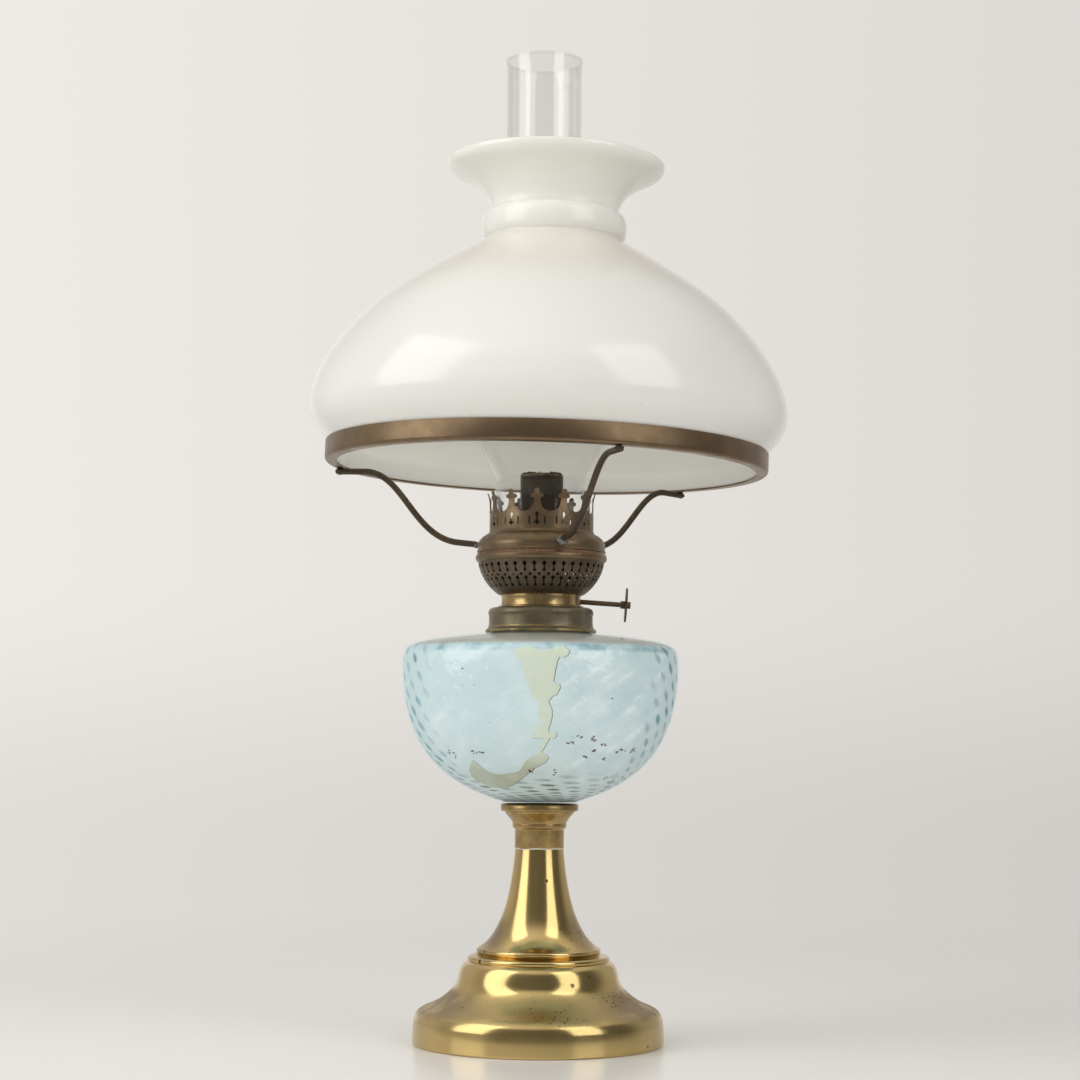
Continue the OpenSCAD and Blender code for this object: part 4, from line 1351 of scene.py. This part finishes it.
    def build(self) -> None:
        """Makes the glass, its lining, the flaked patch with its painted shadow line, and the flecks."""
        outside = self.outside()
        inside = shifted(outside, self.depth)
        self.made["skin"] = self.make.lathe("font_glass_skin", outside, wrap=False, segments=256, crease=70)
        self.climbed(self.made["skin"], outside)
        closed = [(0.0, inside[0][1])] + inside
        self.made["lining"] = self.make.lathe("font_lining", closed, wrap=False, segments=256, crease=70)
        self.climbed(self.made["lining"], inside)
        # A dark copy of the flake's outline, moved right and down beneath it, is its painted shadow.
        self.made["rim"] = self.overlay("lining_flake_edge_shadow", self.ragged(0.45), 0.04)
        self.made["flake"] = self.overlay("lining_flake", self.ragged(0.0), 0.09)
        self.made["flecks"] = self.make.mesh("lining_flecks", *self.flecks())

    def dress(self) -> None:
        """Gives the glass and its layers their finishes."""
        self.make.finish(self.made["skin"], SKIN, Body.STAND, Slot.BLUE, "font")
        looks = {"lining": LINING, "rim": FLAKE_EDGE_SHADOW, "flake": BARE, "flecks": SPECK}
        for name, look in looks.items():
            self.make.finish(self.made[name], look, Body.STAND, Slot.BLUE)


@dataclass
class Collar(SubAssembly):
    """Pressed collar cemented on the font's neck."""

    base: float = LEVEL.collar
    height: float = 13.6
    radius: float = 28.2
    flange: float = 30.0
    hole: float = 21.9

    def build(self) -> None:
        """Makes the collar with its rolled edges."""
        r, f, h, hole = self.radius, self.flange, self.height, self.hole
        section = (
            [(r - 0.9, 0.0), (f - 0.3, 0.0), (f, 0.4), (f, 1.0)]
            + bezier((f - 0.1, 1.4), (-0.5, 0.5), (0.4, -0.3), (r + 0.5, 2.2), 5)
            + bezier((r + 0.4, 2.4), (-0.7, 1.6), (-0.15, -2.4), (r - 0.15, 9.4), 10)
            + bezier((r - 0.15, 9.4), (0.45, 0.5), (0.3, -0.4), (r, h - 2.2), 6)
            + bezier((r, h - 2.2), (-0.2, 1.3), (2.1, -0.2), (r - 3.5, h), 10)
            + [(r - 3.5, h), (hole, h), (hole, h - 9), (hole + 1, h - 9), (hole + 1, h - 1.1)]
            + [(r - 2.6, h - 1.1), (r - 0.9, h - 3.2)]
        )
        self.made["collar"] = self.make.lathe("font_collar_pressed", lifted(section, self.base), crease=42)

    def dress(self) -> None:
        """Darkens the collar and dresses its cement."""
        self.make.finish(self.made["collar"], DARK_BRASS, Body.STAND, Slot.DARK, "font_collar")
        self.make.coat(PLASTER, "collar_cement")


@dataclass
class Burner(SubAssembly):
    """Round-wick burner: bright band, pierced basket, tubes and raiser."""

    top: float = LEVEL.screw
    band: float = 6.9
    screw: float = 21.55
    basket: float = LEVEL.basket
    base_radius: float = 23.4
    wide: float = 34.1
    height: float = LEVEL.dome - LEVEL.basket
    wall: float = 0.6
    columns: int = 40
    turn: float = 2.7
    unrolled: float = 30.0
    rows: int = 26
    slit: float = 0.32
    slits: Tuple[Tuple[float, float, float, float], ...] = ((5.8, 2.3, 1.2, 0.9), (13.2, 9.7, 1.2, 1.1))
    dot: Pair = (7.9, 0.8)

    def wall_curve(self) -> List[Pair]:
        """Section of the pierced wall, from its foot to its lip."""
        foot, lip = (self.base_radius, self.basket + 0.3), (self.wide, self.basket + self.height - 5.2)
        return bezier(foot, (3.8, 2.7), (-1.1, -8.5), lip, 60) + [lip]

    def on_wall(self, along: float) -> Pair:
        """Radius and height at a length along the wall.

        Args:
            along: Length from the wall's foot.

        Returns:
            Radius and height.
        """
        curve = self.wall_curve()
        for (r0, z0), (r1, z1) in zip(curve, curve[1:]):
            step = math.hypot(r1 - r0, z1 - z0)
            if along <= step:
                return r0 + (r1 - r0) * along / step, z0 + (z1 - z0) * along / step
            along -= step
        return curve[-1]

    def length(self, drop: float = 0.0) -> float:
        """Length along the wall up to a drop below its lip.

        Args:
            drop: Drop below the lip.

        Returns:
            The length.
        """
        total, curve = 0.0, self.wall_curve()
        for (r0, z0), (r1, z1) in zip(curve, curve[1:]):
            if z1 > curve[-1][1] - drop + 1e-6:
                break
            total += math.hypot(r1 - r0, z1 - z0)
        return total

    def dumbbell(self, low: float, high: float, big: float, small: float) -> List[Pair]:
        """A slit with a diamond at each end, about the middle of its column.

        Args:
            low: Drop of the lower diamond below the lip.
            high: Drop of the upper diamond.
            big: Half width of the upper diamond.
            small: Half width of the lower one.

        Returns:
            The edge of the hole.
        """
        a, b, slit = self.length(low), self.length(high), self.slit
        right = [
            (0.12, a - small * 1.1), (small, a), (slit, a + small * 0.9),
            (slit, b - big * 0.9), (big, b), (0.12, b + big * 1.1),
        ]
        return mirrored(right)

    def pierced_wall(self) -> Piece:
        """The basket's wall, pierced column by column.

        Returns:
            The wall.
        """
        half = self.unrolled * math.pi / self.columns
        length, dot = self.length(), self.length(self.dot[0])
        notch = arc((half, dot), self.dot[1], -90, -270, 8)
        rows = [length * k / self.rows for k in range(self.rows + 1)]
        clear = [s for s in rows if abs(s - dot) > 1.0]
        right = [(half, s) for s in clear if s < dot] + notch + [(half, s) for s in clear if s > dot]
        holes = [self.dumbbell(*slit) for slit in self.slits]
        grid = [(x * half / 4, s) for x in (-3, -2, -1, 1, 2, 3) for s in clear[1:-1]]
        flat, cell = self.make.pierced(mirrored(right), holes, grid)
        places = {s: self.on_wall(s) for _, s in flat}
        turns = [self.turn + 360 * c / self.columns for c in range(self.columns)]
        piece = self.make.ringed(
            "basket_wall", flat, cell, turns, lambda x, s: (places[s][0], x / self.unrolled, places[s][1])
        )
        return self.make.thick(piece, self.wall)

    def build(self) -> None:
        """Makes the band, the basket, its rim and its floor."""
        s, n = self.screw, self.band
        band = [
            (s - 1, -11), (s, -11), (s, 0), (s + 1.1, 0), (s + 1.35, 0.25), (s + 1.35, 0.6),
            (s + 1.05, 0.85), (s - 0.05, 1.0), (s - 0.25, 2.2),
            (s - 0.25, n - 1.8), (s, n - 0.9), (s - 0.2, n), (s - 1, n),
        ]
        self.made["band"] = self.make.lathe("burner_band", lifted(band, self.top), crease=40)
        self.made["wall"] = self.pierced_wall()
        w = self.wide
        rim = (
            [(w - 0.6, -5.3), (w, -5.3)]
            + bezier((w, -5.2), (0.6, 0.2), (0, -1.3), (w + 1.4, -3.0), 10)
            + bezier((w + 1.4, -3.0), (0, 1.1), (0.2, -0.6), (w + 0.5, -0.5), 10)
            + [(w + 0.35, 0.0), (w - 0.6, 0.0)]
        )
        self.made["rim"] = self.make.lathe("basket_rim", lifted(rim, self.basket + self.height), crease=40)
        floor = [(20.55, 0.0), (22.8, 0.0), (self.base_radius, 0.35), (22.8, 0.6), (20.55, 0.6)]
        self.made["floor"] = self.make.lathe("basket_floor", lifted(floor, self.basket))

    def dress(self) -> None:
        """Gives the band, the basket and the inner works their metals."""
        self.make.finish(self.made["band"], BAND_BRASS, Body.BURNER, Slot.POLISHED, "burner_base")
        self.make.finish(self.made["wall"], BASKET_BRASS, Body.BURNER, Slot.PATINA, "burner_basket")
        for name in ("rim", "floor"):
            self.make.finish(self.made[name], PATINA_BRASS, Body.BURNER, Slot.PATINA)
        self.make.coat(DARK_BRASS, "drip_plate", "shaft_bush", "raiser_bracket", "raiser_wheels")
        self.make.coat(KNOB_BRONZE, "raiser_shaft", "wick_knob")
        self.make.coat(SOOTED_BRASS, "wick_tube", "draught_tube")


@dataclass
class Wick(SubAssembly):
    """Woven round wick with a ragged, charred edge."""

    inner: float = 8.55
    outer: float = 10.75
    bottom: float = 204.2
    top: float = LEVEL.wick
    slot: float = 3.85
    slot_top: float = 252.75
    middle: float = 280.0
    drops: Tuple[float, ...] = (6.5, 2.8, 1.9, 1.4)
    fray: float = 1.35
    sides: int = 180
    seed: int = 11

    def build(self) -> None:
        """Makes the sleeve, open at the front below the duct, with a frayed top."""
        dice = random.Random(self.seed)
        rows = [self.bottom, self.slot_top, self.middle] + [self.top - drop for drop in self.drops]
        points, faces = [], []
        levels = len(rows) + 1
        for k in range(self.sides):
            a = 2 * math.pi * k / self.sides
            fray = dice.uniform(-self.fray, 0.0)
            for radius in (self.outer, self.inner):
                for i in range(levels):
                    z = rows[i] if i < levels - 1 else self.top + fray
                    r = radius + (dice.uniform(-0.25, 0.1) if i >= levels - 2 else 0.0)
                    points.append(polar(r, a - math.pi / 2, z))
        width = 2 * levels
        for k in range(self.sides):
            here, there = k * width, (k + 1) % self.sides * width
            middle = (k + 0.5) * 360 / self.sides
            front = min(middle, 360 - middle) < math.degrees(math.asin(self.slot / self.outer))
            for i in range(1 if front else 0, levels - 1):
                j = i + levels
                faces.append((here + i, there + i, there + i + 1, here + i + 1))
                faces.append((here + j, here + j + 1, there + j + 1, there + j))
            faces.append((here + levels - 1, there + levels - 1, there + width - 1, here + width - 1))
            if not front:
                faces.append((here, here + levels, there + levels, there))
        self.made["sleeve"] = self.make.mesh("wick_sleeve", points, faces, 60)

    def dress(self) -> None:
        """Chars the wick."""
        self.make.finish(self.made["sleeve"], COTTON, Body.WICK, Slot.COTTON, "wick")


@dataclass
class Gallery(SubAssembly):
    """Dome over the basket and the crown of prongs round the chimney."""

    base: float = LEVEL.dome
    radius: float = 34.7
    height: float = LEVEL.gallery - LEVEL.dome
    wall: float = 0.6
    spigot: float = 33.15
    hole: float = 23.5
    crown_radius: float = 27.6
    crown_wall: float = 0.5
    crown_height: float = 21.0
    valley: float = 9.0
    prongs: int = 12
    first: float = -5.0
    flare: float = 0.03
    upright: float = 14.0

    def dome(self) -> List[Pair]:
        """Section of the dome above its foot.

        Returns:
            Radius and height of each point.
        """
        r, h, t, s = self.radius, self.height, self.crown_radius + 0.4, self.spigot
        side = (
            [(r - 0.2, 0.0), (r + 0.15, 0.2), (r + 0.2, 0.6), (r - 0.1, 0.95), (r - 0.4, 1.35)]
            + bezier((r - 0.35, 1.8), (0.85, 3.7), (4.3, -2.3), (t + 0.9, h - 1.4), 30)
            + bezier((t + 0.9, h - 1.4), (-0.4, 0.3), (0.5, -0.5), (t, h), 6)
        )
        inner = list(reversed(shifted(side, self.wall)))[2:]
        seat = [(t, h), (self.hole, h), (self.hole, h - 0.6), (t - 0.6, h - 0.6)]
        return [(s, 0.0)] + side + seat + inner + [(s - 0.6, 0.6), (s - 0.6, -2.4), (s, -2.4)]

    def prong(self, half: float) -> List[Pair]:
        """Right-hand edge of one prong, from the valley to its tip.

        Args:
            half: Half of the girth that a prong takes up.

        Returns:
            Distance from the middle and height of each point.
        """
        low, tip = self.valley, self.crown_height
        return (
            bezier((half, low), (-3.2, 0.4), (0.55, -2.3), (2.05, low + 4.0), 10)
            + [(1.8, low + 5.2), (1.75, low + 6.4)]
            + arc((2.1, low + 8.2), 1.2, -110, 100, 9)
            + arc((0.0, tip - 1.4), 1.4, -35, 80, 8)
            + [(0.0, tip)]
        )

    def cuts(self) -> List[List[Pair]]:
        """The cross and the two curved slits pierced in each prong's foot.

        Returns:
            Edge of each hole.
        """
        cross = [
            (0.12, 1.5), (0.48, 1.8), (0.5, 2.5), (1.7, 2.7), (1.75, 3.4), (0.5, 3.7),
            (0.45, 6.2), (1.1, 7.4), (0.5, 8.4), (0.12, 8.8),
        ]
        slit = [(3.5, 1.9), (4.3, 2.0), (4.6, 4.2), (4.3, 6.3), (3.6, 6.3), (3.85, 4.2)]
        return [mirrored(cross), slit, [(-x, h) for x, h in reversed(slit)]]

    def crown(self) -> Piece:
        """The crown, cut prong by prong from an unrolled sheet.

        Returns:
            The crown.
        """
        middle = self.crown_radius
        half = math.pi * middle / self.prongs
        right = [(0.0, 0.0), (half * 0.5, 0.0)] + [(half, h) for h in (0.0, 2.0, 4.0, 6.0)]
        right += self.prong(half)
        columns = [half * k / 8 for k in range(-7, 8)]
        rows = [1.0 + 1.15 * j for j in range(17)]
        grid = [(x, h) for x in columns for h in rows if h < self.valley or abs(x) < 1.2]
        flat, cell = self.make.pierced(mirrored(right), self.cuts(), grid)
        foot = self.base + self.height
        turns = [self.first + 360 * c / self.prongs for c in range(self.prongs)]
        piece = self.make.ringed(
            "crown_prongs", flat, cell, turns,
            lambda x, h: (middle + self.flare * max(h - self.upright, 0.0) ** 2, x / middle, foot + h),
        )
        return self.make.thick(piece, self.crown_wall)

    def build(self) -> None:
        """Makes the dome and the crown."""
        section = lifted(self.dome(), self.base)
        self.made["dome"] = self.make.lathe("gallery_dome_pressed", section, crease=40)
        self.made["crown"] = self.crown()

    def dress(self) -> None:
        """Browns the dome, the crown and the diffuser under them."""
        for name, node in (("dome", "gallery_dome"), ("crown", "chimney_crown")):
            self.make.finish(self.made[name], PATINA_BRASS, Body.GALLERY, Slot.PATINA, node)
        self.make.coat(PATINA_BRASS, "air_diffuser")


@dataclass
class ShadeHolder(SubAssembly):
    """Three soldered wires and the leaning ring that they carry."""

    wire: float = 1.7
    turns: Tuple[float, float, float] = (-72.0, 48.0, 168.0)
    names: Tuple[str, str, str] = ("front", "right", "left")
    blobs: Tuple[float, float, float] = (1.0, 0.62, 0.62)
    start: Pair = (35.3, LEVEL.dome + 5.0)
    bend: Pair = (11.0, 1.2)
    land: Pair = (18.0, 1.5)
    handles: Pair = (26.0, 22.0)
    ring: float = 120.0
    ring_height: float = 11.0
    sheet: float = 1.0
    ledge: float = 6.5
    shift: float = 2.4
    rise: float = LEVEL.ring
    lean_right: float = 1.5
    lean_back: float = 0.6

    def place(self) -> Matrix:
        """Move from the axis to the leaning ring, in millimetres.

        Returns:
            The move.
        """
        right = Matrix.Rotation(math.radians(self.lean_right), 4, "Y")
        back = Matrix.Rotation(math.radians(-self.lean_back), 4, "X")
        return Matrix.Translation((self.shift, 0, self.rise)) @ right @ back

    def path(self, turn: float) -> List[Vector]:
        """Middle line of a wire, from the dome to the ring.

        Args:
            turn: Degrees from the right, as seen from above.

        Returns:
            Places in millimetres.
        """
        a = math.radians(turn)
        start = polar(self.start[0], a, self.start[1])
        bend = polar(self.start[0] + self.bend[0], a, self.start[1] + self.bend[1])
        under = [self.place() @ polar(self.ring - back, a, -self.wire - 0.1) for back in self.land]
        lead, land = (bend - start).normalized(), (under[1] - under[0]).normalized()
        handles = (bend, bend + lead * self.handles[0], under[0] - land * self.handles[1], under[0])
        line = [start + (bend - start) * k / 6 for k in range(6)]
        for k in range(48):
            line.append(sum((h * w for h, w in zip(handles, shares(k / 48))), Vector()))
        return line + [under[0].lerp(under[1], k / 10) for k in range(11)]

    def lump(self, points: List[Vector], faces: Faces, place: Matrix, size: Vector, seed: float) -> None:
        """Adds a ragged blob to a mesh.

        Args:
            points: Places to add to.
            faces: Faces to add to.
            place: Where the blob sits.
            size: Its half sizes.
            seed: Picks its bumps.
        """
        work = bmesh.new()
        bmesh.ops.create_icosphere(work, subdivisions=4, radius=1.0)
        start = len(points)
        for vertex in work.verts:
            bump = 0.92 + 0.22 * noise.noise(vertex.co * 1.9 + Vector((seed, 0, 0)))
            points.append(place @ Vector(c * s * bump for c, s in zip(vertex.co, size)))
        faces += [tuple(start + v.index for v in face.verts) for face in work.faces]
        work.free()

    def joints(self) -> None:
        """Makes the solder on the dome and under the ring."""
        grey: Tuple[List[Vector], Faces] = ([], [])
        brown: Tuple[List[Vector], Faces] = ([], [])
        for k, (turn, blob) in enumerate(zip(self.turns, self.blobs)):
            spin = Matrix.Rotation(math.radians(turn), 4, "Z")
            seat = spin @ Matrix.Translation((self.start[0] + 1.3 * blob, 0, self.start[1] - 0.4))
            self.lump(*grey, seat, Vector((2.9, 3.4, 2.7)) * blob, 3.0 * k)
            seat = self.place() @ spin @ Matrix.Translation((self.ring - 3.6, 0, -1.7))
            self.lump(*brown, seat, Vector((3.0, 2.4, 2.0)), 3.0 * k + 1.5)
        self.made["dome_solder"] = self.make.mesh("dome_solder", *grey, 80)
        self.made["ring_solder"] = self.make.mesh("ring_joints", *brown, 80)

    def build(self) -> None:
        """Makes the wires, their solder and the ring."""
        for name, turn in zip(self.names, self.turns):
            self.made[name] = self.make.tube(
                f"holder_wire_{name}", self.path(turn),
                lambda t: self.wire * (0.8 if t in (0.0, 1.0) else 1.0),
            )
        self.joints()
        r, h, s, low = self.ring, self.ring_height, self.sheet, self.ring - self.ledge
        bend = (r - 2.0, 2.0)
        outer = [(low, 0.0), (r - 2.2, 0.0)] + arc(bend, 2.0, -90, 0, 8) + [(r, h - 0.4), (r - 0.3, h)]
        inner = [(r - s + 0.2, h), (r - s, h - 0.4)] + arc(bend, 1.0, 0, -90, 6) + [(low, s)]
        self.made["ring"] = self.make.lathe(
            "shade_ring_band", outer + inner, segments=320, place=self.place(), crease=45
        )

    def dress(self) -> None:
        """Gives the wires, the ring and the ring's joints their bronze, and the dome's joints their solder.
        """
        for name in self.names:
            self.make.finish(self.made[name], WIRE_BRONZE, Body.GALLERY, Slot.WIRE, f"shade_wire_{name}")
        self.make.finish(self.made["dome_solder"], SOLDER, Body.GALLERY, Slot.SOLDER, "wire_solder")
        self.make.finish(self.made["ring_solder"], WIRE_BRONZE, Body.GALLERY, Slot.SOLDER, "ring_solder")
        self.make.finish(self.made["ring"], BRONZE_SATIN, Body.GALLERY, Slot.WIRE, "shade_ring")


@dataclass
class Chimney(SubAssembly):
    """Blown chimney with a waist, a bulge and a straight flue."""

    base: float = LEVEL.gallery
    radius: float = 26.5
    wall: float = 1.5
    waist: Pair = (24.0, 26.3)
    bulge: Pair = (38.0, 61.0)
    flue: Pair = (20.6, 110.5)
    height: float = 260.1

    def build(self) -> None:
        """Makes the glass with its slightly flared mouth."""
        r, w, b, f, h = self.radius, self.waist, self.bulge, self.flue, self.height
        side = (
            [(r, 0.0), (r, 9.0)]
            + bezier((r, 17.6), (0, 4), (0, -3), w, 14)
            + bezier(w, (0, 6), (0, -13), b, 26)
            + bezier(b, (0, 20), (0, -23), f, 36)
            + [f]
            + [(f[0], f[1] + (h - 8 - f[1]) * k / 6) for k in range(1, 7)]
            + bezier((f[0], h - 7), (0.1, 3), (-0.3, -1.7), (f[0] + 0.8, h - 0.3), 6)
            + [(f[0] + 0.8, h - 0.3), (f[0] + 0.4, h), (f[0] - 0.7, h)]
        )
        back = list(reversed(shifted(side, self.wall)))
        self.made["glass"] = self.make.lathe("chimney_blown", lifted(side + back, self.base), crease=60)

    def dress(self) -> None:
        """Clears the glass."""
        self.make.finish(self.made["glass"], CLEAR, Body.CHIMNEY, Slot.CLEAR, "chimney")


@dataclass
class Shade(SubAssembly):
    """Opal dome shade with a bead and a flared neck."""

    holder: ShadeHolder
    foot: float = 118.1
    wide: Pair = (129.55, 31.0)
    shoulder: Pair = (91.9, 90.4)
    top: Pair = (37.2, 125.6)
    bead: Pair = (39.7, 133.0)
    girth: Pair = (3.4, 7.0)
    neck: Pair = (35.0, 141.6)
    mid: Pair = (50.0, 160.2)
    rim: Pair = (59.6, 169.1)
    wall: float = 3.2

    def build(self) -> None:
        """Makes the shade with a rounded rim, leaning with its ring."""
        f, w, s, t, n, m, r = self.foot, self.wide, self.shoulder, self.top, self.neck, self.mid, self.rim
        body = (
            [(f, 1.0)]
            + bezier((f, 9.5), (0.6, 3.5), (0, -12), w, 18)
            + bezier(w, (0, 19), (16.9, -14.1), s, 34)
            + bezier(s, (-13.8, 11.6), (13, -7.7), t, 30)
            + [t]
        )
        flare = (
            bezier(n, (0.6, 8.5), (-8, -4.4), m, 22)
            + bezier(m, (5.4, 2.5), (0, -3.8), (r[0], r[1] - 1.2), 12)
            + arc((r[0] - 1.2, r[1] - 1.2), 1.2, 0, 90, 5)
        )
        (b, c), (out, half) = self.bead, self.girth
        bead = (
            bezier((b - out + 0.9, c - half), (out - 1.8, 1.0), (0, -half * 0.5), (b, c), 14)
            + bezier((b, c), (0, half * 0.55), (out - 1.1, -0.6), (b - out, c + half + 0.6), 14)
        )
        section = body + bead + flare + [(r[0] - 2.2, r[1] - 0.3)]
        section += list(reversed(shifted(flare[:-5], self.wall)))
        section += [(n[0] - self.wall, n[1] - 2), (n[0] - self.wall, t[1])]
        section += list(reversed(shifted(body, self.wall)))
        place = self.holder.place()
        self.made["glass"] = self.make.lathe("shade_opal", section, segments=288, place=place, crease=40)

    def dress(self) -> None:
        """Cases the glass in opal white."""
        self.make.finish(self.made["glass"], OPAL, Body.SHADE, Slot.OPAL, "shade")


# Studio


@dataclass(frozen=True)
class Lamp:
    """A light of the studio."""

    name: str
    power: float
    warmth: Color = (1.0, 0.985, 0.96)

    def hang(self, kind: str, place: Vector, glossy: bool) -> Piece:
        """Hangs the light.

        Args:
            kind: Blender's type of light.
            place: Where it hangs.
            glossy: Whether gloss and glass show it.

        Returns:
            The light's object.
        """
        light = bpy.data.lights.new(self.name, kind)
        light.energy, light.color = self.power, self.warmth
        lamp = bpy.data.objects.new(self.name, light)
        lamp.location = place
        lamp.visible_glossy = lamp.visible_transmission = glossy
        bpy.context.scene.collection.objects.link(lamp)
        LOG.info("lamp %s", self.name)
        return lamp


@dataclass(frozen=True)
class SoftBox(Lamp):
    """A soft lamp that faces the middle of the object."""

    turn: float = 0.0
    climb: float = 30.0
    size: Pair = (1.2, 1.2)
    glossy: bool = False
    distance: float = 1.5
    aim: Tuple[float, float, float] = (0.0, 0.0, 0.26)

    def build(self) -> None:
        """Hangs the lamp and points it at the middle of the object."""
        climb = math.radians(self.climb)
        way = polar(math.cos(climb), math.radians(self.turn - 90), math.sin(climb))
        lamp = self.hang("AREA", Vector(self.aim) + way * self.distance, self.glossy)
        lamp.rotation_euler = way.to_track_quat("Z", "Y").to_euler()
        lamp.data.shape = "RECTANGLE"
        lamp.data.size, lamp.data.size_y = self.size


@dataclass(frozen=True)
class Glow(Lamp):
    """The light that a translucent shade lets into itself."""

    place: Tuple[float, float, float] = (-0.025, 0.0, 0.385)
    radius: float = 0.05

    def build(self) -> None:
        """Hangs the light under the dome, unseen by the camera and in reflections."""
        lamp = self.hang("POINT", Vector(self.place), False)
        lamp.data.shadow_soft_size = self.radius
        lamp.visible_camera = False


@dataclass(frozen=True)
class Studio:
    """Floor, lamps, backdrop and camera."""

    left: Color = (0.855, 0.83, 0.79)
    right: Color = (0.723, 0.694, 0.658)
    fill: float = 0.495
    front: float = 0.195
    beside: float = 0.42
    back: float = 0.64
    roof: float = 0.95
    falloff: float = 0.24
    low: float = 0.13
    lamps: Tuple[Union[SoftBox, Glow], ...] = (
        SoftBox("soft_box_left", 8.4, turn=-66, climb=26.5, size=(1.0, 1.6), glossy=True),
        SoftBox("soft_box_right", 6.4, turn=46, climb=26.5, size=(0.8, 1.55), glossy=True),
        SoftBox("wash_left", 4.4, turn=-76),
        SoftBox("wash_right", 1.4, turn=60),
        SoftBox("front_fill", 4.5, turn=-8, climb=-3, size=(1.3, 0.3)),
        Glow("shade_glow", 0.125, (1.0, 0.97, 0.92)),
    )
    board: float = 1.2
    sides: int = 96
    sensor: float = 36.0
    focal: float = 2350 / 1080
    eye: Tuple[float, float, float] = (-0.00076, -1.268, 0.1654)
    pitch: float = 4.65
    roll: float = 0.4

    def backdrop(self) -> None:
        """A pale world: plain to the camera, and in gloss dim in front, brighter behind and above."""
        world = bpy.data.worlds.new("World")
        bpy.context.scene.world = world
        world.use_nodes = True
        g = Graph(world.node_tree)
        x, y, z = g.axes(g.wire(g.node("ShaderNodeTexCoord"), "Generated"))
        path = g.node("ShaderNodeLightPath")
        seen = g.wire(path, "Is Camera Ray").most(g.wire(path, "Is Transmission Ray"))
        gloss = g.wire(path, "Is Glossy Ray")
        sides = self.beside - x.step(-0.3, 0.5) * self.falloff
        mirror = sides.toward(self.back, y.step(-0.05, 0.5)) + y.step(0.80, 0.93) * (1.0 - self.back)
        mirror = mirror.toward(self.front, y.step(-0.45, -0.85)).toward(self.roof, z.step(0.6, 0.85))
        plain = 1.0 - z.step(0.065, -0.05) * self.low
        level = plain.toward(self.fill, 1.0 - seen).toward(mirror, gloss)
        tone = g.blend(x * 2.2 + 0.5, self.left, self.right)
        shade = g.wire(g.node("ShaderNodeBackground", None, {"Color": tone, "Strength": level}))
        g.node("ShaderNodeOutputWorld", None, {"Surface": shade})

    def camera(self) -> None:
        """The photograph's view."""
        data = bpy.data.cameras.new("view")
        data.sensor_fit = "HORIZONTAL"
        data.sensor_width = self.sensor
        data.lens = self.focal * self.sensor
        eye = bpy.data.objects.new("view", data)
        pitch = Matrix.Rotation(math.radians(90 + self.pitch), 4, "X")
        roll = Matrix.Rotation(math.radians(self.roll), 4, "Z")
        eye.matrix_world = Matrix.Translation(self.eye) @ pitch @ roll
        bpy.context.scene.collection.objects.link(eye)
        bpy.context.scene.camera = eye

    def floor(self) -> None:
        """A round table top under the lamp."""
        data = bpy.data.meshes.new("floor")
        rim = [tuple(polar(self.board, 2 * math.pi * k / self.sides)) for k in range(self.sides)]
        data.from_pydata(rim, [], [tuple(range(self.sides))])
        data.materials.append(FLOOR.material())
        top = bpy.data.objects.new("floor", data)
        bpy.context.scene.collection.objects.link(top)

    def build(self) -> None:
        """Sets up everything round the lamp."""
        self.camera()
        self.backdrop()
        self.floor()
        for lamp in self.lamps:
            lamp.build()
        bpy.context.scene.view_settings.view_transform = "Standard"


def main() -> None:
    """Builds and dresses the lamp part by part, then the studio, and logs the number of pieces."""
    logging.basicConfig(level=logging.INFO, format="%(name)s: %(message)s")
    make = Maker()
    holder = ShadeHolder(make)
    parts: List[SubAssembly] = [kind(make) for kind in (Foot, FontCup, Font, Collar, Burner, Wick, Gallery)]
    for part in parts + [holder, Chimney(make), Shade(make, holder)]:
        part.build()
        part.dress()
    Studio().build()
    LOG.info("%d pieces", len(make.pieces))


if __name__ == "__main__":
    main()
